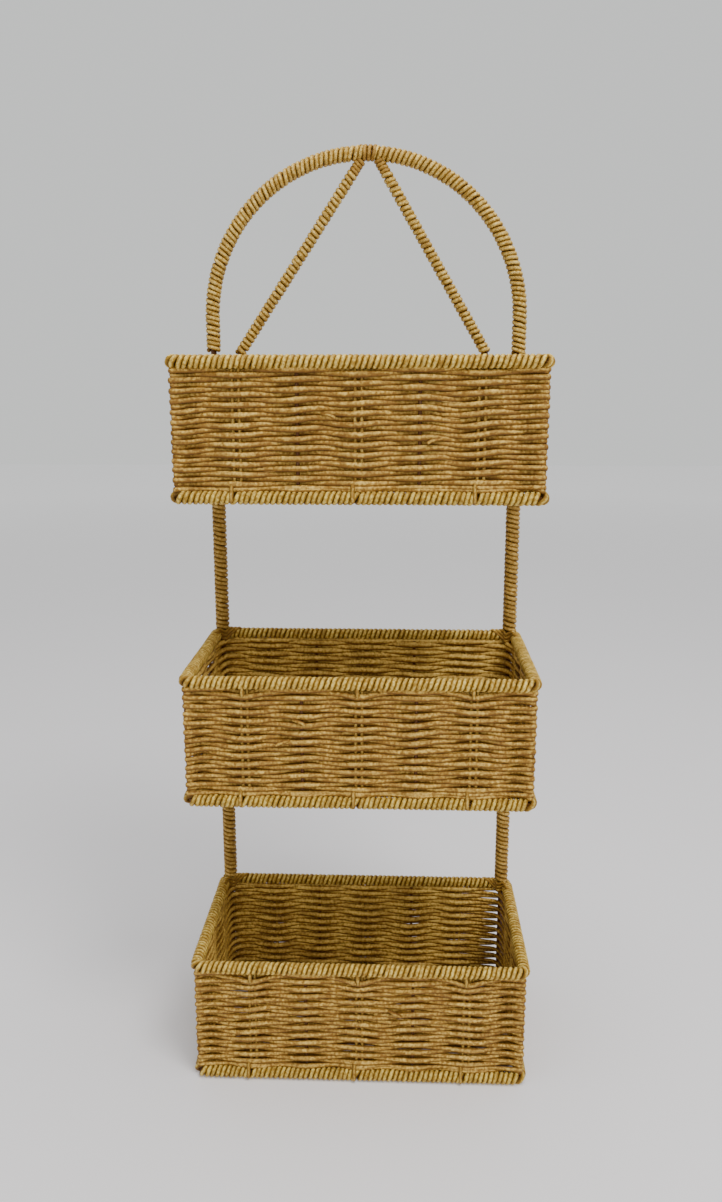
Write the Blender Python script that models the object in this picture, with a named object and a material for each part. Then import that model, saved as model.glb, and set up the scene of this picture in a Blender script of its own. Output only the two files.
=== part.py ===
"""Rattan shower caddy: three woven baskets carried by one cord-wrapped hoop.

Metres, +Z up, front towards -Y, origin on the floor under the middle of the caddy.
Each basket is a wrapped wire rim and a wrapped wire base ring, held apart by wire and cord
stakes, with two weft strands that chase each other round the stakes, over one and behind the
next. A bent steel rod runs up the inner back corners of all three baskets and over the top as
an arch, with two braces from the arch down to the back rim of the top basket.
"""
import math
from collections import namedtuple

import bmesh
import bpy
from mathutils import Matrix, Vector

# Baskets
RIM_WIDTH = 0.304            # over the wrapped rims, left to right
RIM_DEPTH = 0.173            # over the wrapped rims, front to back
BASKET_RISE = 0.106          # centreline of the base ring to centreline of the rim
LOWER_SPACE = 0.1605         # rim of the bottom basket to base ring of the middle one
UPPER_SPACE = 0.1545         # rim of the middle basket to base ring of the top one
CORNER_RADIUS = 0.006        # bend of the ring wires at each corner, on the centreline
RING_WIRE = 0.0034           # diameter of the wire in the rims and base rings

# Paper cord
WRAP_CORD = 0.0038           # diameter of the cord wound on rings, hoop and braces
STAKE_CORD = 0.0034          # diameter of the doubled cord stakes
STAKE_PAIR = 0.0052          # between the two strands of a cord stake
WEFT_TALL = 0.0034           # height of one weft strand
WEFT_THICK = 0.0031          # thickness of one weft strand
ROWS = 24                    # weft rows, shared by two strands

# Stakes and floor
STAKE_WIRE = 0.003           # diameter of the wire stakes
STAKE_INSET = 0.002          # from a ring's centreline in to the line of stakes
FRONT_BAYS = 6               # bays between the stakes along the front and the back
SIDE_BAYS = 3                # bays along each end
CORD_STAKES = {"left": -2, "centre": 0, "right": 2}   # in front bays from the middle
WIRE_STAKES = (-1, 1)        # in front bays from the middle
SIDE_STAKES = (-0.5, 0.5)    # in side bays from the middle
WIRE_BEND = 0.004            # bend where a wire stake turns under the floor
CORD_BEND = 0.004            # the same for a cord stake
MAT_THICK = 0.0025
MAT_CORNER = 0.016           # rounds the mat clear of the wefts at the corners
MAT_MARGIN = 0.0006          # between the floor mat and the innermost weft

# Hoop and braces
HOOP_ROD = 0.0057            # diameter of the bent rod
ARCH_LEG = 0.040             # rim of the top basket to where the arch starts to curve
BRACE_ROD = 0.0027           # diameter of the straight rod in a brace
BRACE_INSET = {"left": 0.0218, "right": 0.0275}    # rod's axis to a brace's foot, along the rim
BRACE_HEAD = {"left": 0.0033, "right": 0.0115}     # middle of the arch to a brace's head

# Bindings at the joints of the hoop, wound in a slimmer cord
BINDING_CORD = 0.0036
BINDING_PITCH = 0.0042
FOOT_TURNS = 3               # where the hoop leaves a rim
APEX_TURNS = 4               # between the brace heads

# Clearances
SEAT_GAP = 0.0003            # between pieces that touch
NOTCH_GAP = 0.0006           # round the rod where it passes a ring's wrap
PAIR_ROOM = 0.0008           # extra room for a weft that crosses a doubled stake
CORNER_EASE = 1.18           # a weft turns a corner stake on two points, and swings this much wider
CORNER_SWING = 22.5          # degrees from the corner's middle to each of those points
LEVEL = 0.00001              # points this near a height lie on it

# Facets
CORNER_STEPS = 2
BEND_STEPS = 1
BIGHT_STEPS = 3
MAT_STEPS = 3
ARCH_STEPS = 9
WRAP_SIDES = 8
WIRE_SIDES = 6
LOOP_POINTS = 10
SHARP_ANGLE = 50
LEAST_MITRE = 0.5            # keeps a mitred section from growing past twice its size

Z_AXIS = Vector((0, 0, 1))
TIERS = ("bottom", "middle", "top")

# Worked out from the sizes above
RING_RADIUS = RING_WIRE / 2 + WRAP_CORD
RING_HALF_X = RIM_WIDTH / 2 - RING_RADIUS
RING_HALF_Y = RIM_DEPTH / 2 - RING_RADIUS
STAKE_HALF_X = RING_HALF_X - STAKE_INSET
STAKE_HALF_Y = RING_HALF_Y - STAKE_INSET
FRONT_BAY = 2 * STAKE_HALF_X / FRONT_BAYS
SIDE_BAY = 2 * STAKE_HALF_Y / SIDE_BAYS
HOOP_RADIUS = HOOP_ROD / 2 + WRAP_CORD
BRACE_RADIUS = BRACE_ROD / 2 + WRAP_CORD

# The rod stands against the back wires, where they start to bend round the corners
POST_X = RING_HALF_X - CORNER_RADIUS
POST_Y = RING_HALF_Y - RING_WIRE / 2 - HOOP_ROD / 2 - SEAT_GAP

BASE_HEIGHTS = (
    RING_RADIUS,
    RING_RADIUS + BASKET_RISE + LOWER_SPACE,
    RING_RADIUS + 2 * BASKET_RISE + LOWER_SPACE + UPPER_SPACE,
)
TOP_RIM = BASE_HEIGHTS[2] + BASKET_RISE
ARCH_CENTRE = TOP_RIM + ARCH_LEG

# Heights inside one basket, over the centreline of its base ring
STAKE_TOP = BASKET_RISE - RING_RADIUS - SEAT_GAP
WIRE_FLOOR = RING_RADIUS + SEAT_GAP + STAKE_WIRE / 2
CORD_FLOOR = WIRE_FLOOR + STAKE_WIRE / 2 + SEAT_GAP + STAKE_CORD / 2
MAT_BOTTOM = CORD_FLOOR + STAKE_CORD / 2 + SEAT_GAP
FIRST_ROW = RING_RADIUS + SEAT_GAP + WEFT_TALL / 2
LAST_ROW = STAKE_TOP - WEFT_TALL / 2
ROW_PITCH = (LAST_ROW - FIRST_ROW) / ROWS

# Bindings
BINDING_RADIUS = HOOP_ROD / 2 + 2 * SEAT_GAP + BINDING_CORD / 2
FOOT_BINDING = FOOT_TURNS * BINDING_PITCH + BINDING_CORD
APEX_HALF = (APEX_TURNS * BINDING_PITCH + BINDING_CORD) / 2 + SEAT_GAP

Stake = namedtuple("Stake", "place outward radius room foot_top corner")


def clear_scene():
    """Removes whatever the open file holds, so that only the caddy is left."""
    for old in list(bpy.data.objects):
        bpy.data.objects.remove(old, do_unlink=True)


def finish(name, colour, roughness, metallic=0.0):
    """A plain Principled material for one kind of surface."""
    made = bpy.data.materials.new(name)
    made.use_nodes = True
    shader = made.node_tree.nodes["Principled BSDF"]
    shader.inputs["Base Color"].default_value = (*colour, 1.0)
    shader.inputs["Roughness"].default_value = roughness
    shader.inputs["Metallic"].default_value = metallic
    made.diffuse_color = (*colour, 1.0)
    return made


def placed(name, data, material, height=0.0):
    """Puts mesh or curve data into the scene as a named piece."""
    piece = bpy.data.objects.new(name, data)
    piece.location.z = height
    if not data.materials:
        data.materials.append(material)
    bpy.context.scene.collection.objects.link(piece)
    return piece


def polygon(flat_radius, sides):
    """A regular section with flats towards its own axes, measured to the flats."""
    corner_radius = flat_radius / math.cos(math.pi / sides)
    angles = [(k + 0.5) * 2 * math.pi / sides for k in range(sides)]
    return [(corner_radius * math.cos(a), corner_radius * math.sin(a)) for a in angles]


def round_wire(diameter):
    """A section whose corners lie on the wire's own circle."""
    return polygon(diameter / 2 * math.cos(math.pi / WIRE_SIDES), WIRE_SIDES)


def ring_of_points(bm, section, point, before, after, across):
    """Sets a section across a route at one of its points, mitred between two runs."""
    along = (before + after).normalized()
    side = along.cross(across).normalized()
    lift = side.cross(along)
    mitre = 1 / max(along.dot(before), LEAST_MITRE)
    return [bm.verts.new(point + side * (a * mitre) + lift * b) for a, b in section]


def skin(bm, rings, closed, inward):
    """Joins one ring of points to the next, with faces out, or in for a bore."""
    pairs = list(zip(rings, rings[1:]))
    if closed:
        pairs.append((rings[-1], rings[0]))
    for here, there in pairs:
        for j in range(len(here)):
            k = (j + 1) % len(here)
            quad = (here[j], there[j], there[k], here[k])
            bm.faces.new(quad[::-1] if inward else quad)


def swept_mesh(name, route, section, across, closed=False, bore=None):
    """A section carried along a route; with a bore it is a sleeve, and closed it is a ring."""
    steps = [(b - a).normalized() for a, b in zip(route, route[1:])]
    if closed:
        steps.append((route[0] - route[-1]).normalized())
        before = [steps[-1]] + steps[:-1]
        after = steps
    else:
        before = [steps[0]] + steps
        after = steps + [steps[-1]]
    bm = bmesh.new()
    frames = list(zip(route, before, after))
    outer = [ring_of_points(bm, section, p, u, v, across) for p, u, v in frames]
    skin(bm, outer, closed, inward=False)
    if bore:
        inner = [ring_of_points(bm, bore, p, u, v, across) for p, u, v in frames]
        skin(bm, inner, closed, inward=True)
    if not closed and not bore:
        bm.faces.new(outer[0])
        bm.faces.new(outer[-1][::-1])
    if not closed and bore:
        for j in range(len(section)):
            k = (j + 1) % len(section)
            bm.faces.new((outer[0][j], outer[0][k], inner[0][k], inner[0][j]))
            bm.faces.new((outer[-1][k], outer[-1][j], inner[-1][j], inner[-1][k]))
    mesh = bpy.data.meshes.new(name)
    bm.to_mesh(mesh)
    bm.free()
    mesh.shade_smooth()
    mesh.set_sharp_from_angle(angle=math.radians(SHARP_ANGLE))
    return mesh


def cord_curve(name, points, diameter):
    """One unbroken round cord along a list of points."""
    curve = bpy.data.curves.new(name, "CURVE")
    curve.dimensions = "3D"
    curve.bevel_depth = diameter / 2
    curve.bevel_resolution = 1
    curve.use_fill_caps = True
    spline = curve.splines.new("POLY")
    spline.points.add(len(points) - 1)
    for target, point in zip(spline.points, points):
        target.co = (*point, 1.0)
    spline.use_smooth = True
    return curve


def arc(centre, radius, start, end, steps, u, v):
    """Points on an arc, with its angles in degrees from u towards v."""
    angles = [math.radians(start + (end - start) * i / steps) for i in range(steps + 1)]
    return [centre + u * (radius * math.cos(a)) + v * (radius * math.sin(a)) for a in angles]


def ring_route(half_x, half_y, radius, steps):
    """A rounded rectangle in the flat, anticlockwise from above."""
    u = Vector((1, 0, 0))
    v = Vector((0, 1, 0))
    points = []
    for turn, (sx, sy) in enumerate(((1, 1), (-1, 1), (-1, -1), (1, -1))):
        centre = Vector((sx * (half_x - radius), sy * (half_y - radius), 0))
        points += arc(centre, radius, turn * 90, turn * 90 + 90, steps, u, v)
    return points


def u_route(half, along, top, floor, bend):
    """Down one wall, under the floor and up the other wall, with a small bend at each turn."""
    left_centre = along * (bend - half) + Z_AXIS * (floor + bend)
    right_centre = along * (half - bend) + Z_AXIS * (floor + bend)
    route = [along * -half + Z_AXIS * top]
    route += arc(left_centre, bend, 180, 270, BEND_STEPS, along, Z_AXIS)
    route += arc(right_centre, bend, 270, 360, BEND_STEPS, along, Z_AXIS)
    route.append(along * half + Z_AXIS * top)
    return route


def ring_meshes():
    """The wire of a rim or base ring, and the cord wound round it."""
    route = ring_route(RING_HALF_X, RING_HALF_Y, CORNER_RADIUS, CORNER_STEPS)
    wire = swept_mesh("ring_wire", route, round_wire(RING_WIRE), Z_AXIS, closed=True)
    wrap = swept_mesh(
        "ring_wrap",
        route,
        polygon(RING_RADIUS, WRAP_SIDES),
        Z_AXIS,
        closed=True,
        bore=polygon(RING_WIRE / 2 + SEAT_GAP, WIRE_SIDES),
    )
    return wire, wrap


def rod_cutters():
    """Cylinders that part the ring wraps where the hoop's rod runs past the inner corners."""
    cutters = []
    for side, sign in (("left", -1), ("right", 1)):
        bm = bmesh.new()
        bmesh.ops.create_cone(
            bm,
            cap_ends=True,
            segments=WRAP_SIDES,
            radius1=HOOP_ROD / 2 + NOTCH_GAP,
            radius2=HOOP_ROD / 2 + NOTCH_GAP,
            depth=2 * TOP_RIM,
            matrix=Matrix.Translation((sign * POST_X, POST_Y, TOP_RIM / 2)),
        )
        mesh = bpy.data.meshes.new(f"cutter_rod_{side}")
        bm.to_mesh(mesh)
        bm.free()
        cutter = bpy.data.objects.new(f"cutter_rod_{side}", mesh)
        cutter.hide_render = True
        cutter.display_type = "WIRE"
        bpy.context.scene.collection.objects.link(cutter)
        cutters.append(cutter)
    return cutters


def cage_mesh():
    """Four wires bent to a U and welded where they cross under the floor."""
    x_axis = Vector((1, 0, 0))
    y_axis = Vector((0, 1, 0))
    wires = []
    for bays in WIRE_STAKES:
        route = u_route(STAKE_HALF_Y, y_axis, STAKE_TOP, WIRE_FLOOR, WIRE_BEND)
        route = [p + x_axis * (bays * FRONT_BAY) for p in route]
        wires.append(swept_mesh("front_wire", route, round_wire(STAKE_WIRE), x_axis))
    for bays in SIDE_STAKES:
        route = u_route(STAKE_HALF_X, x_axis, STAKE_TOP, WIRE_FLOOR, WIRE_BEND)
        route = [p + y_axis * (bays * SIDE_BAY) for p in route]
        wires.append(swept_mesh("side_wire", route, round_wire(STAKE_WIRE), y_axis))
    parts = []
    for mesh in wires:
        part = bpy.data.objects.new("cage_part", mesh)
        part.hide_render = True
        bpy.context.scene.collection.objects.link(part)
        parts.append(part)
    for other in parts[1:]:
        weld = parts[0].modifiers.new("weld", "BOOLEAN")
        weld.operation = "UNION"
        weld.object = other
    graph = bpy.context.evaluated_depsgraph_get()
    welded = bpy.data.meshes.new_from_object(parts[0].evaluated_get(graph))
    welded.name = "cage"
    for part in parts:
        bpy.data.objects.remove(part, do_unlink=True)
    return welded


def cord_stake_points(x):
    """A doubled cord: down the front, under the floor and up the back, with its bight in front."""
    y_axis = Vector((0, 1, 0))
    bight_centre = Vector((x, -STAKE_HALF_Y, STAKE_TOP - STAKE_CORD / 2 - STAKE_PAIR / 2))
    top = bight_centre.z
    run = u_route(STAKE_HALF_Y, y_axis, top, CORD_FLOOR, CORD_BEND)
    run[-1].z = STAKE_TOP
    left = [p + Vector((x - STAKE_PAIR / 2, 0, 0)) for p in run]
    right = [p + Vector((x + STAKE_PAIR / 2, 0, 0)) for p in run]
    bight = arc(bight_centre, STAKE_PAIR / 2, 180, 0, BIGHT_STEPS, Vector((1, 0, 0)), Z_AXIS)
    return left[:0:-1] + bight + right[1:]


def stake_circuit():
    """The stakes in the order that a weft meets them, anticlockwise from the front left corner."""
    wire_foot = WIRE_FLOOR + STAKE_WIRE / 2
    cord_foot = CORD_FLOOR + STAKE_CORD / 2
    stakes = []

    def add(x, y, out_x, out_y, radius, room, foot_top, corner=False):
        place = Vector((x, y, 0))
        outward = Vector((out_x, out_y, 0)).normalized()
        stakes.append(Stake(place, outward, radius, room, foot_top, corner))

    def wall(sign):
        for bays in sorted((*CORD_STAKES.values(), *WIRE_STAKES)):
            x = -sign * bays * FRONT_BAY
            if bays in WIRE_STAKES:
                add(x, sign * STAKE_HALF_Y, 0, sign, STAKE_WIRE / 2, 0, wire_foot)
            else:
                add(x, sign * STAKE_HALF_Y, 0, sign, STAKE_CORD / 2, PAIR_ROOM, cord_foot)

    def end(sign):
        for bays in SIDE_STAKES:
            y = sign * bays * SIDE_BAY
            add(sign * STAKE_HALF_X, y, sign, 0, STAKE_WIRE / 2, 0, wire_foot)

    add(-STAKE_HALF_X, -STAKE_HALF_Y, -1, -1, STAKE_WIRE / 2, 0, 0, corner=True)
    wall(-1)
    add(STAKE_HALF_X, -STAKE_HALF_Y, 1, -1, STAKE_WIRE / 2, 0, 0, corner=True)
    end(1)
    add(POST_X, POST_Y, 1, 1, HOOP_ROD / 2, 0, 0, corner=True)
    wall(1)
    add(-POST_X, POST_Y, -1, 1, HOOP_ROD / 2, 0, 0, corner=True)
    end(-1)
    return stakes


def weft_route(first_stake):
    """One strand, from its first corner up to the rim: outside one stake, inside the next.

    A pass that would cut through a stake's run under the floor stays outside instead.
    """
    stakes = stake_circuit()
    count = len(stakes)
    passes = ROWS // 2 * count
    points = []
    for step in range(passes + 1):
        stake = stakes[(first_stake + step) % count]
        z = FIRST_ROW + ROWS * ROW_PITCH * step / passes
        off = stake.radius + stake.room + SEAT_GAP + WEFT_THICK / 2
        low = z - WEFT_TALL / 2 < stake.foot_top + SEAT_GAP
        outside = step % 2 == 0 or low
        base = stake.place + Z_AXIS * z
        if not outside:
            points.append(base - stake.outward * off)
        elif stake.corner:
            for turn in (-CORNER_SWING, CORNER_SWING):
                way = stake.outward.copy()
                way.rotate(Matrix.Rotation(math.radians(turn), 3, "Z"))
                points.append(base + way * (off * CORNER_EASE))
        else:
            points.append(base + stake.outward * off)
    return points


def weft_mesh(name, first_stake):
    """A weft strand, three-sided, with its ridge on the outside of the basket."""
    section = [
        (WEFT_THICK / 2, 0),
        (-WEFT_THICK / 2, WEFT_TALL / 2),
        (-WEFT_THICK / 2, -WEFT_TALL / 2),
    ]
    return swept_mesh(name, weft_route(first_stake), section, Z_AXIS)


def mat_mesh():
    """The floor of a basket, a flat mat with rounded corners that lies on the floor runs."""
    inner = STAKE_CORD / 2 + PAIR_ROOM + SEAT_GAP + WEFT_THICK + MAT_MARGIN
    route = ring_route(STAKE_HALF_X - inner, STAKE_HALF_Y - inner, MAT_CORNER, MAT_STEPS)
    bm = bmesh.new()
    edge = [bm.verts.new(p + Z_AXIS * MAT_BOTTOM) for p in route]
    sheet = bm.faces.new(edge)
    raised = bmesh.ops.extrude_face_region(bm, geom=[sheet])
    top = [v for v in raised["geom"] if isinstance(v, bmesh.types.BMVert)]
    bmesh.ops.translate(bm, verts=top, vec=Z_AXIS * MAT_THICK)
    bmesh.ops.recalc_face_normals(bm, faces=bm.faces)
    mesh = bpy.data.meshes.new("mat")
    bm.to_mesh(mesh)
    bm.free()
    return mesh


def build_baskets(finishes):
    """The three baskets, which share their meshes, with the pieces of each named by its tier."""
    wire, wrap = ring_meshes()
    cage = cage_mesh()
    stake_run = [Z_AXIS * (RING_RADIUS + SEAT_GAP), Z_AXIS * STAKE_TOP]
    corners = {}
    for side, sign in (("left", -1), ("right", 1)):
        route = [p + Vector((sign * STAKE_HALF_X, -STAKE_HALF_Y, 0)) for p in stake_run]
        corners[side] = swept_mesh(f"corner_{side}", route, round_wire(STAKE_WIRE), Vector((0, 1, 0)))
    cords = {}
    for side, bays in CORD_STAKES.items():
        cords[side] = cord_curve(f"cord_{side}", cord_stake_points(bays * FRONT_BAY), STAKE_CORD)
    half_way = len(stake_circuit()) // 2
    wefts = {"a": weft_mesh("weft_a", 0), "b": weft_mesh("weft_b", half_way)}
    mat = mat_mesh()
    cutters = rod_cutters()
    for tier, height in zip(TIERS, BASE_HEIGHTS):
        for part, level in (("base", height), ("rim", height + BASKET_RISE)):
            placed(f"{tier}_{part}_wire", wire, finishes["wire"], level)
            sleeve = placed(f"{tier}_{part}_wrap", wrap, finishes["rim_cord"], level)
            for cutter in cutters:
                notch = sleeve.modifiers.new("notch", "BOOLEAN")
                notch.operation = "DIFFERENCE"
                notch.object = cutter
        placed(f"{tier}_wire_cage", cage, finishes["wire"], height)
        for side, mesh in corners.items():
            placed(f"{tier}_corner_stake_{side}", mesh, finishes["wire"], height)
        for side, curve in cords.items():
            placed(f"{tier}_cord_stake_{side}", curve, finishes["stake_cord"], height)
        for strand, mesh in wefts.items():
            placed(f"{tier}_weft_{strand}", mesh, finishes["weft_cord"], height)
        placed(f"{tier}_floor_mat", mat, finishes["weft_cord"], height)


def arch_half(sign):
    """The arch's centreline from its springing up to the apex binding, on one side."""
    centre = Vector((0, POST_Y, ARCH_CENTRE))
    free = 90 - math.degrees(APEX_HALF / POST_X)
    return arc(centre, POST_X, 0, free, ARCH_STEPS, Vector((sign, 0, 0)), Z_AXIS)


def build_hoop(finishes):
    """The bent rod, and the cord wound on its arch and on its posts between the baskets."""
    y_axis = Vector((0, 1, 0))
    rod_section = round_wire(HOOP_ROD)
    wrap_section = polygon(HOOP_RADIUS, WRAP_SIDES)
    wrap_bore = polygon(HOOP_ROD / 2 + SEAT_GAP, WRAP_SIDES)
    apex = Vector((0, POST_Y, ARCH_CENTRE + POST_X))
    route = [Vector((-POST_X, POST_Y, 0))] + arch_half(-1) + [apex]
    route += arch_half(1)[::-1] + [Vector((POST_X, POST_Y, 0))]
    rod = swept_mesh("hoop_rod", route, rod_section, y_axis)
    placed("hoop_rod", rod, finishes["wire"])
    above_rim = RING_RADIUS + SEAT_GAP + FOOT_BINDING + SEAT_GAP
    for side, sign in (("left", -1), ("right", 1)):
        foot = Vector((sign * POST_X, POST_Y, TOP_RIM + above_rim))
        leg = [foot] + arch_half(sign)
        sleeve = swept_mesh(f"arch_wrap_{side}", leg, wrap_section, y_axis, bore=wrap_bore)
        placed(f"arch_wrap_{side}", sleeve, finishes["hoop_cord"])
        for name, below, above in (("lower", 0, 1), ("upper", 1, 2)):
            low = BASE_HEIGHTS[below] + BASKET_RISE + above_rim
            high = BASE_HEIGHTS[above] - RING_RADIUS - SEAT_GAP
            run = [Vector((sign * POST_X, POST_Y, z)) for z in (low, high)]
            sleeve = swept_mesh(f"{name}_post_wrap_{side}", run, wrap_section, y_axis, bore=wrap_bore)
            placed(f"{name}_post_wrap_{side}", sleeve, finishes["hoop_cord"])


def least_gap(points, diameter):
    """The narrowest space between a winding's own turns, measured on its points."""
    apart = LOOP_POINTS // 2
    gaps = [
        (p - q).length - diameter
        for i, p in enumerate(points)
        for q in points[i + apart:]
    ]
    return min(gaps)


def build_bindings(finishes):
    """Cord bound round the bare rod: at the foot of each post and arch leg, and at the apex."""
    foot_steps = FOOT_TURNS * LOOP_POINTS
    for tier, height in zip(TIERS, BASE_HEIGHTS):
        start = height + BASKET_RISE + RING_RADIUS + SEAT_GAP + BINDING_CORD / 2
        for side, sign in (("left", -1), ("right", 1)):
            points = []
            for i in range(foot_steps + 1):
                turn = 2 * math.pi * i / LOOP_POINTS
                around = Vector((sign * math.cos(turn), math.sin(turn), 0)) * BINDING_RADIUS
                rise = BINDING_PITCH * i / LOOP_POINTS
                points.append(Vector((sign * POST_X, POST_Y, start + rise)) + around)
            curve = cord_curve(f"{tier}_rim_binding_{side}", points, BINDING_CORD)
            placed(f"{tier}_rim_binding_{side}", curve, finishes["binding_cord"])
    print("least gap in a rim binding, mm:", round(least_gap(points, BINDING_CORD) * 1000, 2))

    apex_steps = APEX_TURNS * LOOP_POINTS
    points = []
    for i in range(apex_steps + 1):
        turn = 2 * math.pi * i / LOOP_POINTS
        along = BINDING_PITCH * (i / LOOP_POINTS - APEX_TURNS / 2)
        lean = along / POST_X
        outward = Vector((math.sin(lean), 0, math.cos(lean)))
        spot = Vector((0, POST_Y, ARCH_CENTRE)) + outward * POST_X
        around = (outward * math.cos(turn) + Vector((0, math.sin(turn), 0))) * BINDING_RADIUS
        points.append(spot + around)
    placed("apex_binding", cord_curve("apex_binding", points, BINDING_CORD), finishes["binding_cord"])
    print("least gap in the apex binding, mm:", round(least_gap(points, BINDING_CORD) * 1000, 2))


def cut_level(mesh, low, high):
    """Trims a slanted piece level at both ends."""
    bm = bmesh.new()
    bm.from_mesh(mesh)
    for z, way in ((low, -1), (high, 1)):
        geom = bm.verts[:] + bm.edges[:] + bm.faces[:]
        bmesh.ops.bisect_plane(
            bm,
            geom=geom,
            dist=LEVEL / 10,
            plane_co=(0, 0, z),
            plane_no=(0, 0, way),
            clear_outer=True,
        )
    return bm


def brace_mesh(name, side, sign, section, bore):
    """One brace, or the cord on it, level where it stands on the rim and meets the arch."""
    low = TOP_RIM + RING_RADIUS + SEAT_GAP
    corner = HOOP_RADIUS / math.cos(math.pi / WRAP_SIDES)
    reach = max(BRACE_HEAD.values()) + 1.5 * BRACE_RADIUS
    arch_drop = POST_X - math.sqrt(POST_X ** 2 - reach ** 2)
    high = ARCH_CENTRE + POST_X - arch_drop - corner - SEAT_GAP
    foot = Vector((sign * (POST_X - BRACE_INSET[side]), RING_HALF_Y, low))
    head = Vector((sign * BRACE_HEAD[side], POST_Y, high))
    over = (head - foot).normalized() * (2 * BRACE_RADIUS)
    y_axis = Vector((0, 1, 0))
    long_mesh = swept_mesh(name, [foot - over, head + over], section, y_axis, bore=bore)
    bm = cut_level(long_mesh, low, high)
    for z in (low, high):
        rim = [e for e in bm.edges if e.is_boundary and abs(e.verts[0].co.z - z) < LEVEL]
        if bore:
            bmesh.ops.bridge_loops(bm, edges=rim)
        else:
            bmesh.ops.contextual_create(bm, geom=rim)
    bmesh.ops.recalc_face_normals(bm, faces=bm.faces)
    bm.to_mesh(long_mesh)
    bm.free()
    return long_mesh


def build_braces(finishes):
    """The two braces that spread from the apex to the back rim of the top basket."""
    wrap_section = polygon(BRACE_RADIUS, WRAP_SIDES)
    wrap_bore = polygon(BRACE_ROD / 2 + SEAT_GAP, WRAP_SIDES)
    for side, sign in (("left", -1), ("right", 1)):
        rod = brace_mesh(f"brace_rod_{side}", side, sign, round_wire(BRACE_ROD), None)
        placed(f"brace_rod_{side}", rod, finishes["wire"])
        wrap = brace_mesh(f"brace_wrap_{side}", side, sign, wrap_section, wrap_bore)
        placed(f"brace_wrap_{side}", wrap, finishes["hoop_cord"])


def main():
    clear_scene()
    finishes = {
        "wire": finish("dark_steel_wire", (0.06, 0.035, 0.022), 0.45, 0.85),
        "rim_cord": finish("rim_cord", (0.60, 0.43, 0.19), 0.62),
        "hoop_cord": finish("hoop_cord", (0.56, 0.38, 0.15), 0.62),
        "weft_cord": finish("weft_cord", (0.50, 0.31, 0.10), 0.66),
        "stake_cord": finish("stake_cord", (0.58, 0.40, 0.17), 0.66),
        "binding_cord": finish("binding_cord", (0.40, 0.23, 0.08), 0.66),
    }
    build_baskets(finishes)
    build_hoop(finishes)
    build_bindings(finishes)
    build_braces(finishes)
    print("row pitch, mm:", round(ROW_PITCH * 1000, 3))
    print("overall height, m:", round(ARCH_CENTRE + POST_X + HOOP_RADIUS, 4))


main()
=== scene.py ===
# %% [markdown]
# # Dressing a rattan shower caddy
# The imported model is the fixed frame: wire rings, wire cages and the hoop's rod, with plain
# sleeves where paper cord is wound. This lesson winds, weaves and ties the real cord over that
# frame, gives each surface its finish, and ends with a camera and soft light. The frame's own
# dark wires stay as they are, because a steel wire has no finer shape to add.

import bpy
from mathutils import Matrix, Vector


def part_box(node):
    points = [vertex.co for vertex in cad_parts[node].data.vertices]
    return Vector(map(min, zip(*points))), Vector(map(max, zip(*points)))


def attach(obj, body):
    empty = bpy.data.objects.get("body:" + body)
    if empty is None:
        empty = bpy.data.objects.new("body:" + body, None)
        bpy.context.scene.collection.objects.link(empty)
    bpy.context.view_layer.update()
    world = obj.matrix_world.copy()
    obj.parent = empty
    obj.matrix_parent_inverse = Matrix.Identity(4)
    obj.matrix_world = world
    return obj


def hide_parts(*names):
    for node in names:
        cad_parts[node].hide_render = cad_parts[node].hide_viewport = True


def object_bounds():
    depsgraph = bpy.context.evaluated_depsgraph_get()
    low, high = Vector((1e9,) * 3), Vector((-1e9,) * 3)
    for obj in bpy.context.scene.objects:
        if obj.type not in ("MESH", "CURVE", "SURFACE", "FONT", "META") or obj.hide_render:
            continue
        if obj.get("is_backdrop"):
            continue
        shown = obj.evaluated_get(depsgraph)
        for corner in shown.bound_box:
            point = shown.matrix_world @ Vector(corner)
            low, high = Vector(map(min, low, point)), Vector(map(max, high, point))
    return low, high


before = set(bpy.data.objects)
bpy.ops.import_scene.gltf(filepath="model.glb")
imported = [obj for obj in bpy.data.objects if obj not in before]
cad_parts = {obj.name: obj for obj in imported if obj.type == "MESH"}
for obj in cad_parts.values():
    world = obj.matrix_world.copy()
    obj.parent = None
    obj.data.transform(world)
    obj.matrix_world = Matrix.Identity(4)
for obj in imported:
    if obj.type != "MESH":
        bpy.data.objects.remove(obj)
cad_box = [[float(v) for v in corner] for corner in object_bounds()]
print("solids in the frame:", len(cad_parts))

# %% Modules
import math
from collections import namedtuple

import bmesh
import bpy
import numpy as np
from mathutils import Matrix, Vector

print("Blender", bpy.app.version_string)

# %% [markdown]
# ## Sizes come from the frame
# A basket weaver works to the frame in hand, not to a drawing. The same holds here: the size of
# a ring, the line of stakes and the axis of the rod are read from the boxes of the solids. Only
# what a box can't tell, such as the bend at a corner, is a value of its own.

# %% Measure the frame
X, Y, Z = 0, 1, 2
TIERS = ("bottom", "middle", "top")
SIDES = {"left": -1, "right": 1}


def half(node, axis):
    """Half the size of a solid along one axis."""
    low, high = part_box(node)
    return (high[axis] - low[axis]) / 2


def centre(node, axis):
    """The middle of a solid's box along one axis."""
    low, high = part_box(node)
    return (high[axis] + low[axis]) / 2


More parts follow.
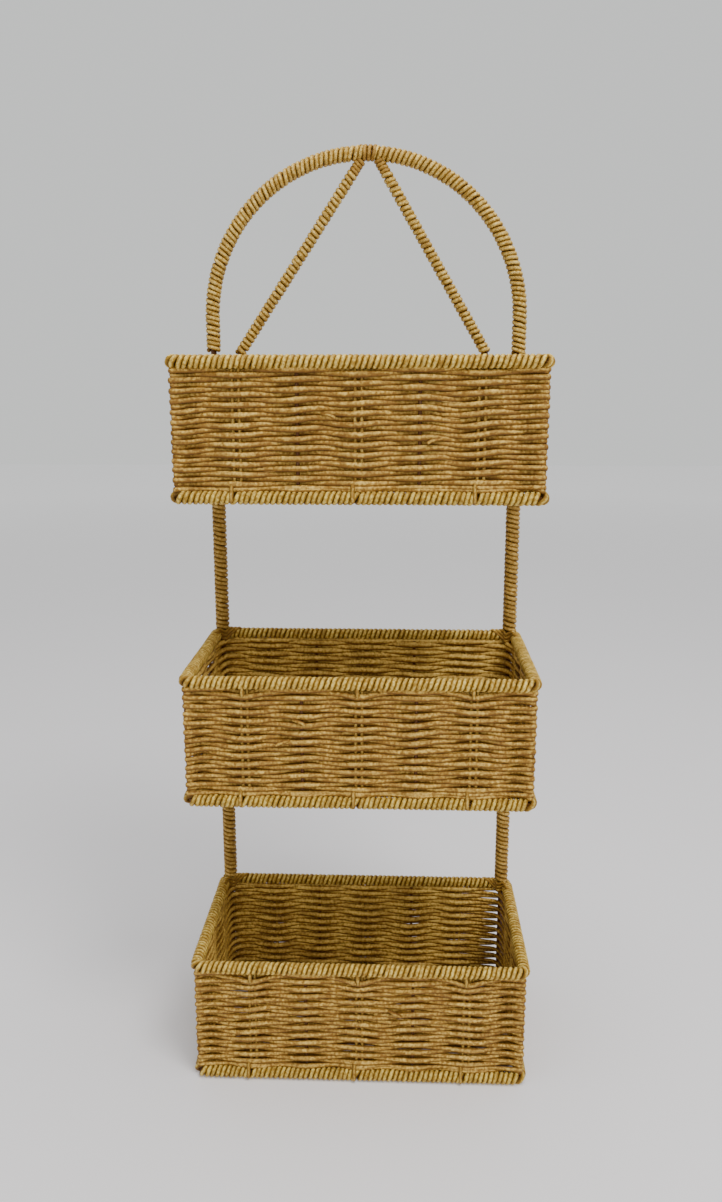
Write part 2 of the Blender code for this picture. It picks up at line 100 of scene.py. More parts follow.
ring_radius = half("bottom_base_wrap", Z)
ring_x = half("bottom_base_wrap", X) - ring_radius
ring_y = half("bottom_base_wrap", Y) - ring_radius
base_level = {tier: centre(f"{tier}_base_wrap", Z) for tier in TIERS}
rim_level = {tier: centre(f"{tier}_rim_wrap", Z) for tier in TIERS}
stake_x = -centre("bottom_corner_stake_left", X)
stake_y = -centre("bottom_corner_stake_left", Y)
stake_radius = half("bottom_corner_stake_left", Y)
post_x = centre("lower_post_wrap_right", X)
post_y = centre("lower_post_wrap_right", Y)
hoop_radius = half("lower_post_wrap_right", X)
arch_radius = post_x
arch_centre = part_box("hoop_rod")[1][Z] - (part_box("hoop_rod")[1][X] - post_x) - arch_radius
print("ring half sizes, mm:", round(ring_x * 1000, 2), round(ring_y * 1000, 2))
print("rod axis, mm:", round(post_x * 1000, 2), round(post_y * 1000, 2))
print("arch centre, mm:", round(arch_centre * 1000, 2))

# %% Sizes that a box does not tell
FRONT_BAYS = 6           # bays between stakes along the front and the back
SIDE_BAYS = 3            # bays along each end
FRONT_BAY = 2 * stake_x / FRONT_BAYS
SIDE_BAY = 2 * stake_y / SIDE_BAYS
WRAP_CORD = 0.0038       # paper cord wound on rings, hoop and braces
rod_radius = hoop_radius - WRAP_CORD
print("bays, mm:", round(FRONT_BAY * 1000, 1), round(SIDE_BAY * 1000, 1))
print("hoop's rod, mm thick:", round(2000 * rod_radius, 2))

# %% [markdown]
# ## A cord is a curve with a skin
# Every cord here is a run of points with a round bevel, which Blender sets square to the run at
# each of its points. It could stay a curve, but a mesh can also hold a map of its surface and
# marks for the finish. So the curve is only a step on the way.

# %% A round skin on runs of points
CORD_SIDES = 8           # faces around a cord


def bevelled_curve(name, runs, diameter, closed):
    """A curve object with one round-bevelled spline for each run of points."""
    curve = bpy.data.curves.new(name, "CURVE")
    curve.dimensions = "3D"
    curve.bevel_depth = diameter / 2
    curve.bevel_resolution = (CORD_SIDES - 4) // 2
    for run in runs:
        spline = curve.splines.new("POLY")
        spline.points.add(len(run) - 1)
        spline.points.foreach_set("co", np.column_stack([run, np.ones(len(run))]).ravel())
        spline.use_cyclic_u = closed
    guide = bpy.data.objects.new(name, curve)
    bpy.context.scene.collection.objects.link(guide)
    return guide


def close_ends(mesh):
    """Fills the two open ends of each cord, which keeps the order of its points."""
    bm = bmesh.new()
    bm.from_mesh(mesh)
    bmesh.ops.holes_fill(bm, edges=[edge for edge in bm.edges if edge.is_boundary], sides=0)
    bm.to_mesh(mesh)
    bm.free()


def distances(run):
    """How far along a run each of its points lies."""
    steps = np.linalg.norm(np.diff(run, axis=0), axis=1)
    return np.concatenate([[0.0], np.cumsum(steps)])


bent = np.array([(0, 0, 0), (1, 0, 0), (1, 1, 0)])
print("a run once bent, m along it:", distances(bent))

# %% [markdown]
# ## Nothing made by hand is even
# A hand twists paper tighter here and looser there, and lays turns and rows a little astray.
# Waves of a few random lengths, added up, give such slow changes. Noise could do it too, but
# whole waves meet themselves again at the end of a closed ring.

# %% Slow changes along a length
def wander(share, seed, waves=5, quickest=40):
    """A smooth wobble between about -1 and 1 that meets itself after a whole length."""
    chance = np.random.default_rng(seed)
    total = np.zeros_like(share)
    for _ in range(waves):
        count = chance.integers(3, quickest)
        total += np.sin(2 * np.pi * (count * share + chance.random()))
    return total / math.sqrt(waves * 2)


def swelling(run, number):
    """Slow changes of thickness along a run, a few in each hand's breadth."""
    length = distances(run)[-1]
    return wander(distances(run) / length, seed=number, waves=7, quickest=int(4 + 60 * length))


print("wander at a tenth, a half and nine tenths:", wander(np.array([0.1, 0.5, 0.9]), seed=1).round(2))

# %% [markdown]
# ## A map along each cord
# The pleats of twisted paper slant round the cord wherever it goes, which a pattern in space
# can't follow. So each cord carries a UV map, in metres along it and in turns around it. Where
# a ring of faces closes, and where a closed cord meets itself, the last face would run backwards
# to nought. Its corners there are given the whole turn, or the whole length.

# %% The UV map of a cord
UV_NAME = "cord"


def fill_cord_uv(mesh, runs, closed):
    """UVs in metres along each run and in turns around it, without a seam that runs backwards."""
    along = []
    length = []
    for run in runs:
        distance = distances(run)
        whole = distance[-1] + (np.linalg.norm(run[0] - run[-1]) if closed else 0)
        along.append(distance)
        length.append(np.full(len(run), whole))
    along = np.concatenate(along)
    length = np.concatenate(length)
    while mesh.uv_layers:
        mesh.uv_layers.remove(mesh.uv_layers[0])
    layer = mesh.uv_layers.new(name=UV_NAME)
    vertex = np.empty(len(mesh.loops), np.int32)
    mesh.loops.foreach_get("vertex_index", vertex)
    size = np.empty(len(mesh.polygons), np.int32)
    mesh.polygons.foreach_get("loop_total", size)
    face = np.repeat(np.arange(len(size)), size)
    turn = (vertex % CORD_SIDES).astype(float)
    distance = along[vertex // CORD_SIDES]
    starts = np.concatenate([[0], np.cumsum(size)[:-1]])
    widest = np.maximum.reduceat(turn, starts)[face]
    turn[(widest > CORD_SIDES / 2) & (turn == 0) & (size[face] == 4)] = CORD_SIDES
    furthest = np.maximum.reduceat(distance, starts)[face]
    total = length[vertex // CORD_SIDES]
    distance = np.where((furthest - distance) > total / 2, total, distance)
    place = np.column_stack([distance, turn / CORD_SIDES])
    layer.data.foreach_set("uv", place.astype(np.float32).ravel())


print("UV map:", UV_NAME)

# %% [markdown]
# ## From curve to cord
# The bevel sets its rings of points in order, so each ring can be made flatter, thicker or
# thinner about its own middle. The same offsets tell how far each point faces away from what the
# cord lies on, and that goes into an attribute: the crown of a cord is painted pale, partly as
# rubbing and partly as a highlight, and its underside is painted dark as shade.

# %% Make a cord
CROWN = "crown"
Shape = namedtuple("Shape", "flat uneven full inner upward worn", defaults=((1, 1), 0.03, 1, 0, 0, 1))


def cord(name, runs, diameter, outward=None, closed=False, shape=Shape()):
    """A cord as a mesh object, with its UV map in metres and its crown marked.

    shape.flat gives the cord's height and thickness as shares of its diameter, uneven how much
    its thickness comes and goes, as hand-twisted paper does, and full its thickness at each
    point. worn scales the crown's pale, partly rubbing and partly painted highlight, at each
    point, inner how much of it its inner face takes, beside its crown, and upward how far the
    painted highlight and shade lean upwards, so that the upper side is painted lighter.
    """
    guide = bevelled_curve(name, runs, diameter, closed)
    graph = bpy.context.evaluated_depsgraph_get()
    mesh = bpy.data.meshes.new_from_object(guide.evaluated_get(graph))
    curve = guide.data
    bpy.data.objects.remove(guide)
    bpy.data.curves.remove(curve)
    if not closed:
        close_ends(mesh)
    points = np.vstack(runs)
    ring = np.arange(len(mesh.vertices)) // CORD_SIDES
    place = np.empty(len(mesh.vertices) * 3, np.float32)
    mesh.vertices.foreach_get("co", place)
    place = place.reshape(-1, 3)
    offset = place - points[ring]
    # The crown attribute masks a painted highlight on a cord's crown and painted shade on its underside; with
    # no direction out, the upper side is painted lighter and the lower darker, and worn lowers the highlight
    # where a strand dives into shade.
    upper = offset[:, Z] / (diameter / 2)
    facing = upper
    if outward is not None:
        facing = (offset * np.vstack(outward)[ring]).sum(axis=1) / (diameter / 2)
    facing = np.maximum(facing, -shape.inner * facing)
    facing = (facing + shape.upward * upper) / math.hypot(1, shape.upward)
    facing *= (shape.worn * np.ones(len(points)))[ring]
    crown = mesh.attributes.new(CROWN, "FLOAT", "POINT")
    crown.data.foreach_set("value", facing.astype(np.float32))
    swell = np.concatenate([swelling(run, number) for number, run in enumerate(runs)])
    swell = shape.full * (1 + shape.uneven * swell)
    offset *= np.array([shape.flat[1], shape.flat[1], shape.flat[0]]) * swell[ring][:, None]
    scaled = points[ring] + offset
    mesh.vertices.foreach_set("co", scaled.astype(np.float32).ravel())
    fill_cord_uv(mesh, runs, closed)
    mesh.shade_smooth()
    piece = bpy.data.objects.new(name, mesh)
    bpy.context.scene.collection.objects.link(piece)
    return piece


print("a cord, unless told otherwise:", Shape())

# %% [markdown]
# ## Rails to wind on
# Cord is wound on rings, posts, an arch and two braces. They differ only in the line that they
# follow, so each is a rail: points along the core, with two directions across it. One function
# then winds them all. The hollows between the photographed turns lean about twenty degrees, twice
# what one strand of this thickness could, because two strands were laid on side by side. Only
# the thin braces are wound with one. All of it turns the same way, left-handed.

# %% Rails
Rail = namedtuple("Rail", "distance points side across")
BEND_POINTS = 24
CORNER_BEND = 0.006      # bend of the ring wires on their centreline


def rail(points, across, closed=False):
    """A line to wind on, with the direction to its side and across it at each point."""
    points = np.array(points, float)
    if closed:
        points = np.vstack([points, points[:1]])
    along = np.gradient(points, axis=0)
    if closed:
        along[0] = along[-1] = points[1] - points[-2]
    along /= np.linalg.norm(along, axis=1)[:, None]
    side = np.cross(along, across)
    side /= np.linalg.norm(side, axis=1)[:, None]
    return Rail(distances(points), points, side, np.cross(side, along))


def read(values, path, distance):
    """Values of a rail at any distances along it."""
    return np.column_stack([np.interp(distance, path.distance, values[:, k]) for k in range(3)])


def arc(middle, radius, start, end, u, v, count=BEND_POINTS):
    """Points on an arc, with its angles in degrees from u towards v."""
    angles = np.radians(np.linspace(start, end, count))[:, None]
    return np.array(middle) + radius * (np.cos(angles) * np.array(u) + np.sin(angles) * np.array(v))


def ring_rail(level):
    """The centreline of a ring wire, anticlockwise from its back left corner."""
    points = []
    for turn, (sx, sy) in enumerate(((-1, 1), (-1, -1), (1, -1), (1, 1))):
        middle = (sx * (ring_x - CORNER_BEND), sy * (ring_y - CORNER_BEND), level)
        points.append(arc(middle, CORNER_BEND, turn * 90 + 90, turn * 90 + 180, (1, 0, 0), (0, 1, 0)))
    return rail(np.vstack(points), (0, 0, 1), closed=True)


print("round a ring, m:", round(ring_rail(0).distance[-1], 4))

# %% Wind strands on a rail
STARTS = 2
WRAP_PITCH = 0.0045
WRAP_SLACK = 0.09        # how far turns stray together, as a share of their pitch
TURN_SLACK = 0.04        # how far each turn strays by itself
TURN_POINTS = 14
TURN_LIFT = 0.03         # how far turns ride higher or lower, as a share of their radius
PART_GAP = 0.0013        # how far turns move aside to each side of a parting
PART_EASE = 0.0012
PART_SPREAD = 0.009      # how far along the turns beside it are crowded


def part_turns(distance, places):
    """Moves turns aside at some places, which crowds the turns beside them."""
    for place in places:
        away = distance - place
        distance = distance + PART_GAP * np.tanh(away / PART_EASE) * np.exp(-np.abs(away) / PART_SPREAD)
    return distance


def winding(path, core, low, high, seed, closed=False, strands=STARTS, pitch=WRAP_PITCH, partings=()):
    """Runs of points for strands that lie side by side round a core, and which way is out."""
    length = high - low
    turns = max(1, round(length / (pitch * strands)))
    steps = turns * TURN_POINTS
    theta = 2 * np.pi * np.arange(steps + (0 if closed else 1)) / TURN_POINTS
    share = theta / (2 * np.pi * turns)
    slack = WRAP_SLACK * pitch * wander(share, seed)
    slack += TURN_SLACK * pitch * wander(share, seed + 11, waves=9, quickest=max(turns, 5))
    runs = []
    outward = []
    for strand in range(strands):
        drift = slack + TURN_SLACK * pitch * wander(share, seed + strand + 1, waves=9, quickest=max(turns, 5))
        distance = part_turns(low + length * share + drift, partings)
        if closed:
            distance = distance % path.distance[-1]
        spin = theta + 2 * np.pi * strand / strands
        out = read(path.side, path, distance) * np.cos(spin)[:, None]
        out += read(path.across, path, distance) * np.sin(spin)[:, None]
        lift = 1 + TURN_LIFT * wander(share, seed + strand + 7)
        radius = (core + WRAP_CORD / 2) * lift[:, None]
        runs.append(read(path.points, path, distance) + out * radius)
        outward.append(out)
    return runs, outward


print("strands wound together:", STARTS)

# %% Keep cord clear of the hoop's rod
def clear_of_rod(runs, size):
    """Keeps cord points out of the hoop's rod where it stands inside the back corners."""
    keep = rod_radius + size / 2
    for run in runs:
        for sign in SIDES.values():
            away = run[:, :2] - np.array([sign * post_x, post_y])
            gap = np.linalg.norm(away, axis=1)
            near = gap < keep
            run[near, :2] += away[near] * (keep / gap[near] - 1)[:, None]
    return runs


print("kept clear of the rod's axis, mm:", round(1000 * (rod_radius + WRAP_CORD / 2), 2))

# %% [markdown]
# ## Finishes
# Paper cord is a strip of kraft paper twisted into a round strand. From a step away it is golden
# tan; close up, its pleats run round it as fine slanting streaks, and it changes tone every few
# centimetres. Its crown is painted pale, partly as rubbing and partly as a highlight, and the side
# that faces what it lies on is painted a redder brown as shade. Each of these is a small shader
# node group that gives out a value, so that every cord can use it with its own settings, and the
# Principled shader itself stays in the material.

# %% Node helpers
def add(tree, kind, **settings):
    """A node with its plain settings made."""
    node = tree.nodes.new(kind)
    for name, value in settings.items():
        setattr(node, name, value)
    return node


def math_node(tree, operation, first, second=None):
    """A Math node fed by links or numbers; returns its output."""
    node = add(tree, "ShaderNodeMath", operation=operation)
    for socket, value in zip(node.inputs, (first, second)):
        if value is None:
            continue
        if isinstance(value, (int, float)):
            socket.default_value = value
        else:
            tree.links.new(value, socket)
    return node.outputs[0]


def noise(tree, vector, scale, detail=3.0, roughness=0.55):
    """A noise texture read at a vector; returns its value output."""
    node = add(tree, "ShaderNodeTexNoise")
    node.inputs["Scale"].default_value = scale
    node.inputs["Detail"].default_value = detail
    node.inputs["Roughness"].default_value = roughness
    tree.links.new(vector, node.inputs["Vector"])
    return node.outputs[0]


def mapped(tree, value, low, high, to_low=0.0, to_high=1.0):
    """A value stretched from one range to another, and kept inside it."""
    node = add(tree, "ShaderNodeMapRange")
    for name, number in (("From Min", low), ("From Max", high), ("To Min", to_low), ("To Max", to_high)):
        node.inputs[name].default_value = number
    tree.links.new(value, node.inputs["Value"])
    return node.outputs["Result"]


def new_group(name, inputs, outputs):
    """An empty shader node group with float inputs and outputs; returns tree, in and out."""
    tree = bpy.data.node_groups.new(name, "ShaderNodeTree")
    for label, value in inputs.items():
        socket = tree.interface.new_socket(name=label, in_out="INPUT", socket_type="NodeSocketFloat")
        socket.default_value = value
    for label in outputs:
        tree.interface.new_socket(name=label, in_out="OUTPUT", socket_type="NodeSocketFloat")
    return tree, add(tree, "NodeGroupInput"), add(tree, "NodeGroupOutput")


print("node helpers: add, math_node, noise, mapped, new_group")

# %% Paper twist group
LAY = 0.011              # metres of cord to one turn of its twist
PLEATS = 2.6             # how many pleats lie side by side around it
PLEAT_CHANGE = 55.0      # how soon one pleat gives way to the next, per metre


def paper_twist_group():
    """Slanting pleats of twisted paper, read from the cord's own UV map."""
    tree, given, result = new_group("paper_twist", {"Lay": LAY, "Pleats": PLEATS}, ("Pleat", "Fibre"))
    place = add(tree, "ShaderNodeUVMap", uv_map=UV_NAME)
    split = add(tree, "ShaderNodeSeparateXYZ")
    tree.links.new(place.outputs["UV"], split.inputs[0])
    twist = math_node(tree, "DIVIDE", split.outputs["X"], given.outputs["Lay"])
    turn = math_node(tree, "ADD", split.outputs["Y"], twist)
    angle = math_node(tree, "MULTIPLY", turn, 2 * math.pi)
    across = math_node(tree, "MULTIPLY", math_node(tree, "COSINE", angle), given.outputs["Pleats"])
    up = math_node(tree, "MULTIPLY", math_node(tree, "SINE", angle), given.outputs["Pleats"])
    joined = add(tree, "ShaderNodeCombineXYZ")
    tree.links.new(across, joined.inputs["X"])
    tree.links.new(up, joined.inputs["Y"])
    tree.links.new(math_node(tree, "MULTIPLY", split.outputs["X"], PLEAT_CHANGE), joined.inputs["Z"])
    pleat = noise(tree, joined.outputs[0], scale=1.0, detail=2.0)
    fibre = noise(tree, joined.outputs[0], scale=4.5, detail=4.0, roughness=0.7)
    tree.links.new(pleat, result.inputs["Pleat"])
    tree.links.new(fibre, result.inputs["Fibre"])
    return tree


TWIST = paper_twist_group()
print("shared group:", TWIST.name)

# %% Tone group
TONE_LENGTH = 0.016      # metres of cord to one change of tone
TONE_PLACE = 9.0         # how soon tone changes from place to place, per metre
BLOTCHES = 130.0         # the same for stains


def tone_group():
    """Slow changes of tone along a cord, as one roll of paper gives way to the next."""
    tree, given, result = new_group("cord_tone", {"Length": TONE_LENGTH}, ("Tone", "Blotch"))
    place = add(tree, "ShaderNodeUVMap", uv_map=UV_NAME)
    split = add(tree, "ShaderNodeSeparateXYZ")
    tree.links.new(place.outputs["UV"], split.inputs[0])
    where = add(tree, "ShaderNodeTexCoord")
    spread = add(tree, "ShaderNodeVectorMath", operation="SCALE")
    spread.inputs["Scale"].default_value = TONE_PLACE
    tree.links.new(where.outputs["Object"], spread.inputs[0])
    shift = add(tree, "ShaderNodeCombineXYZ")
    tree.links.new(math_node(tree, "DIVIDE", split.outputs["X"], given.outputs["Length"]), shift.inputs["X"])
    both = add(tree, "ShaderNodeVectorMath", operation="ADD")
    tree.links.new(spread.outputs[0], both.inputs[0])
    tree.links.new(shift.outputs[0], both.inputs[1])
    tree.links.new(noise(tree, both.outputs[0], scale=1.0, detail=2.0), result.inputs["Tone"])
    tree.links.new(noise(tree, where.outputs["Object"], scale=BLOTCHES), result.inputs["Blotch"])
    return tree


TONE = tone_group()
print("shared group:", TONE.name)

# %% Crown group
RAGGED = 0.25            # how ragged the edge of the pale crown and of the painted shade is
RUBBED_AND_LIT_FACING = (0.70, 1.12)     # where the crown's pale, partly rubbing and partly painted highlight, starts and is full, as it faces out
PAINTED_SHADE_FACING = (0.86, 0.02)       # the same for the painted shade, as the cord faces what it lies on


def crown_group():
    """The crown of a cord painted pale, partly as rubbing and partly as a highlight, and its underside
    painted dark as shade, from the crown attribute.
    """
    tree, given, result = new_group("cord_crown", {"Ragged": RAGGED}, ("Rubbed", "Deep"))
    facing = add(tree, "ShaderNodeAttribute", attribute_name=CROWN)
    where = add(tree, "ShaderNodeTexCoord")
    grit = noise(tree, where.outputs["Object"], scale=420.0)
    ragged = mapped(tree, grit, 0.3, 0.7, to_low=-1.0, to_high=1.0)
    rough_edge = math_node(tree, "MULTIPLY", ragged, given.outputs["Ragged"])
    level = math_node(tree, "ADD", facing.outputs["Fac"], rough_edge)
    tree.links.new(mapped(tree, level, *RUBBED_AND_LIT_FACING), result.inputs["Rubbed"])
    tree.links.new(mapped(tree, level, *PAINTED_SHADE_FACING), result.inputs["Deep"])
    return tree


CROWN_WEAR_AND_LIGHT = crown_group()
print("shared group:", CROWN_WEAR_AND_LIGHT.name)

# %% Place a group, blend two colours
def use_group(tree, group, **values):
    """Places a shared group in a material with its own settings."""
    node = add(tree, "ShaderNodeGroup", node_tree=group)
    for name, value in values.items():
        node.inputs[name].default_value = value
    return node


def blend(tree, factor, first, second):
    """Mixes two colours by a mask; returns the mixed colour."""
    node = add(tree, "ShaderNodeMix", data_type="RGBA")
    tree.links.new(factor, node.inputs["Factor"])
    for socket, value in ((node.inputs[6], first), (node.inputs[7], second)):
        if isinstance(value, tuple):
            socket.default_value = (*value, 1.0)
        else:
            tree.links.new(value, socket)
    return node.outputs[2]


print("material helpers: use_group, blend")

# %% Paper cord finish
# Of the four tones, the third is the crown's pale, partly wear and partly painted highlight, and the fourth
# paints both the stains and the shade of the underside.
Tones = namedtuple("Tones", "light dark rubbed deep")
PLEAT_MIX = (0.38, 0.62)             # narrower makes the pleats crisper
DARK_STRETCH = (0.38, 0.62, 0.0, 0.85)       # where the roll is dark, and how far
PALE_STRETCH = (0.38, 0.66, 0.95, 0.45)      # how strongly a crown is painted pale, as rubbing and highlight, from pale to dark stretches
STAIN = (0.55, 0.75, 0.0, 0.5)
# how far a cord's underside is painted dark, as shade
PAINTED_SHADE_SHARE = 0.9
ROUGHNESS = (0.42, 0.64)             # of smooth paper and of loose fibres
RIDGES = 1.3                         # how much higher pleats stand than fibres
BUMP_STRENGTH = 0.55
BUMP_HEIGHT = 0.0006
CORD_SPECULAR = 0.28


def paper_cord(name, tones):
    """A finish for twisted paper cord: light and dark pleats, a crown painted pale as rubbing and highlight,
    an underside painted dark as shade.
    """
    made = bpy.data.materials.new(name)
    made.use_nodes = True
    tree = made.node_tree
    shader = tree.nodes["Principled BSDF"]
    twist = use_group(tree, TWIST, Lay=LAY, Pleats=PLEATS)
    tone = use_group(tree, TONE, Length=TONE_LENGTH)
    wear_and_light = use_group(tree, CROWN_WEAR_AND_LIGHT, Ragged=RAGGED)
    pleats = mapped(tree, twist.outputs["Pleat"], *PLEAT_MIX)
    colour = blend(tree, pleats, tones.dark, tones.light)
    colour = blend(tree, mapped(tree, tone.outputs["Tone"], *DARK_STRETCH), colour, tones.dark)
    # The crown is painted pale, partly as rubbing and partly as a highlight.
    crown_strength = mapped(tree, tone.outputs["Tone"], *PALE_STRETCH)
    crown = math_node(tree, "MULTIPLY", wear_and_light.outputs["Rubbed"], crown_strength)
    colour = blend(tree, crown, colour, tones.rubbed)
    colour = blend(tree, mapped(tree, tone.outputs["Blotch"], *STAIN), colour, tones.deep)
    # The underside is painted dark, as shade.
    deep = math_node(tree, "MULTIPLY", wear_and_light.outputs["Deep"], PAINTED_SHADE_SHARE)
    colour = blend(tree, deep, colour, tones.deep)
    tree.links.new(colour, shader.inputs["Base Color"])
    rough = mapped(tree, twist.outputs["Fibre"], 0.3, 0.7, *ROUGHNESS)
    tree.links.new(rough, shader.inputs["Roughness"])
    ridges = math_node(tree, "MULTIPLY", twist.outputs["Pleat"], RIDGES)
    bump = add(tree, "ShaderNodeBump")
    bump.inputs["Strength"].default_value = BUMP_STRENGTH
    bump.inputs["Distance"].default_value = BUMP_HEIGHT
    tree.links.new(math_node(tree, "ADD", ridges, twist.outputs["Fibre"]), bump.inputs["Height"])
    tree.links.new(bump.outputs["Normal"], shader.inputs["Normal"])
    shader.inputs["Specular IOR Level"].default_value = CORD_SPECULAR
    return made


print("a cord's roughness:", ROUGHNESS)

# %% [markdown]
# ## Eight kinds of the same cord
# One finish makes every cord on the caddy from four tones: light and dark pleats, a crown painted
# pale, partly as rubbing and partly as a highlight, and an underside painted dark as shade. The
# rims are palest, the weft in between; the base rings are painted a little darker, and the posts
# darker and browner, as shade. A material written out for each would look the same, but a change
# to the pleats or to the wear and painted light would then have to be made eight times.

# %% Kinds of paper cord
# The base rings' tones are the rims' painted a little darker, as less light reaches them, and the posts' are
# the hoop's painted darker and browner, as the shade of the baskets above them.
CORD_TONES = {
    "wrap_cord": Tones((0.62, 0.38, 0.037), (0.35, 0.18, 0.012), (1.00, 0.78, 0.22), (0.14, 0.060, 0.004)),
    "shaded_base_cord": Tones((0.56, 0.34, 0.031), (0.31, 0.16, 0.010), (0.92, 0.71, 0.18), (0.14, 0.060, 0.004)),
    "hoop_cord": Tones((0.59, 0.35, 0.046), (0.35, 0.19, 0.016), (0.94, 0.71, 0.22), (0.22, 0.105, 0.016)),
    "shaded_post_cord": Tones((0.44, 0.24, 0.028), (0.27, 0.137, 0.012), (0.72, 0.48, 0.13), (0.18, 0.082, 0.011)),
    "weft_cord": Tones((0.45, 0.232, 0.024), (0.27, 0.124, 0.013), (0.95, 0.66, 0.155), (0.14, 0.057, 0.009)),
    "stake_cord": Tones((0.45, 0.255, 0.030), (0.29, 0.145, 0.011), (0.72, 0.51, 0.13), (0.15, 0.062, 0.006)),
    "binding_cord": Tones((0.43, 0.23, 0.028), (0.28, 0.135, 0.012), (0.56, 0.34, 0.07), (0.16, 0.07, 0.009)),
    "mat_cord": Tones((0.48, 0.26, 0.022), (0.31, 0.145, 0.010), (0.80, 0.54, 0.12), (0.15, 0.060, 0.006)),
}
FINISH = {name: paper_cord(name, tones) for name, tones in CORD_TONES.items()}
print("paper cord finishes:", len(FINISH))

# %% [markdown]
# ## Dark steel wire
# The wires that show between the rows are lacquered dark brown, and worn to bare metal in small
# spots. Bare steel differs from lacquer in colour, in gloss and in being metal, so one mask of
# noise marks the spots, and all three follow it.

# %% Steel wire finish
LACQUER = ((0.085, 0.028, 0.006), (0.150, 0.055, 0.012))     # its two mottled browns
BARE_STEEL = (0.22, 0.14, 0.07)
WIRE_SPECULAR = 0.3


def steel_wire():
    """Dark brown lacquered wire, worn to bare metal in small spots."""
    made = bpy.data.materials.new("steel_wire")
    made.use_nodes = True
    tree = made.node_tree
    shader = tree.nodes["Principled BSDF"]
    place = add(tree, "ShaderNodeTexCoord").outputs["Object"]
    worn = mapped(tree, noise(tree, place, scale=260.0, detail=5.0), 0.58, 0.72)
    lacquer = blend(tree, noise(tree, place, scale=60.0), *LACQUER)
    tree.links.new(blend(tree, worn, lacquer, BARE_STEEL), shader.inputs["Base Color"])
    tree.links.new(mapped(tree, worn, 0.0, 1.0, to_low=0.42, to_high=0.6), shader.inputs["Roughness"])
    tree.links.new(mapped(tree, worn, 0.0, 1.0, to_low=0.1, to_high=0.7), shader.inputs["Metallic"])
    shader.inputs["Specular IOR Level"].default_value = WIRE_SPECULAR
    bump = add(tree, "ShaderNodeBump")
    bump.inputs["Strength"].default_value = 0.25
    bump.inputs["Distance"].default_value = 0.0002
    tree.links.new(noise(tree, place, scale=700.0), bump.inputs["Height"])
    tree.links.new(bump.outputs["Normal"], shader.inputs["Normal"])
    return made


FINISH["steel_wire"] = steel_wire()
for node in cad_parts.values():
    node.data.materials.clear()
    node.data.materials.append(FINISH["steel_wire"])
print("finishes:", sorted(FINISH))

# %% [markdown]
# ## Dress a piece
# Each new piece gets its finish, rides on the one body of this rigid caddy, and, where a plain
# solid stood for it, replaces that solid.

# %% Dress a piece
def dress(piece, slot, *replaced, finish=None):
    """Gives a piece its finish, which is its slot's if none is named, and its place in the frame."""
    piece.data.materials.clear()
    piece.data.materials.append(FINISH[finish or slot])
    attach(piece, "root")
    if replaced:
        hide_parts(*replaced)


print("dressed in steel wire so far:", len(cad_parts))

# %% [markdown]
# ## Wrapped rims and base rings
# On the real basket the wire ring is wound before anything is woven. The strands lean on the
# straights and fan out round the corners, which happens by itself when the winding follows the
# rail. At the two back corners the hoop's rod stands against the wire, so the cord dives
# between the two there: its points are pushed out of the rod. On a base ring the turns part in
# two kinds of place: round the front corners, where the dark wire shows through, and where a
# doubled stake's strand comes over the ring.

# %% Where the turns of a base ring part
STAKE_CORD = 0.0034      # doubled cord that stands in for a wire stake
TIE_SHIFT = -0.0045      # a stake's tie crosses the ring a little to its left
CORD_BAYS = (-2, 0, 2)   # doubled stakes, in front bays from the middle
corner_length = CORNER_BEND * math.pi / 2
front_start = 2 * corner_length + 2 * (ring_y - CORNER_BEND)


def front_distance(x):
    """Distance along a ring's rail of a point on its front, from the point's x."""
    return front_start + x + ring_x - CORNER_BEND


front_corners = [front_start - corner_length / 2, front_distance(ring_x - CORNER_BEND) + corner_length / 2]
tie_places = [front_distance(bay * FRONT_BAY + TIE_SHIFT + STAKE_CORD / 2) for bay in CORD_BAYS]
base_partings = front_corners + tie_places
print("partings on a base ring:", len(base_partings))

# %% Wind the rings
WRAP_FULL = 1.12         # wound cord spreads until its turns touch
RING_UNEVEN = 0.05

for number, tier in enumerate(TIERS):
    for part, level in (("base", base_level[tier]), ("rim", rim_level[tier])):
        path = ring_rail(level)
        seed = 100 * number + (50 if part == "rim" else 0)
        partings = base_partings if part == "base" else ()
        whole = (0, path.distance[-1])
        runs, outward = winding(path, ring_radius - WRAP_CORD, *whole, seed, closed=True, partings=partings)
        runs = clear_of_rod(runs, WRAP_CORD)
        name = f"{tier}_{part}_winding"
        shape = Shape(uneven=RING_UNEVEN)
        piece = cord(name, runs, WRAP_CORD * WRAP_FULL, outward, closed=True, shape=shape)
        # A base ring takes a copy of the rims' cord painted darker, as shade.
        dress(piece, "wrap_cord", f"{tier}_{part}_wrap", finish="shaded_base_cord" if part == "base" else None)
print("turns on a ring:", STARTS * round(path.distance[-1] / (WRAP_PITCH * STARTS)))

# %% [markdown]
# ## The hoop
# The posts between the baskets and the arch are wound with the same two strands, the posts' cord
# painted darker and browner, as the shade of the baskets above them. The winder starts down in the
# lashing where the rod leaves a rim, and carries on over the first turns that the plain model keeps
# as a piece of their own. Only the arch's left foot was started too high, and shows a little dark
# rod.

# %% Wind the posts
FOOT_BARE = {"bottom": -0.0006, "middle": -0.0006, "top": 0.0010}    # from a rim to the first turn
POST_FULL = 1.18         # the posts are wound tighter than the rest
POST_SEED = {"left": 319, "right": 322}


def foot_of_winding(tier):
    """Height of the lowest turn over a rim."""
    return rim_level[tier] + ring_radius + FOOT_BARE[tier]


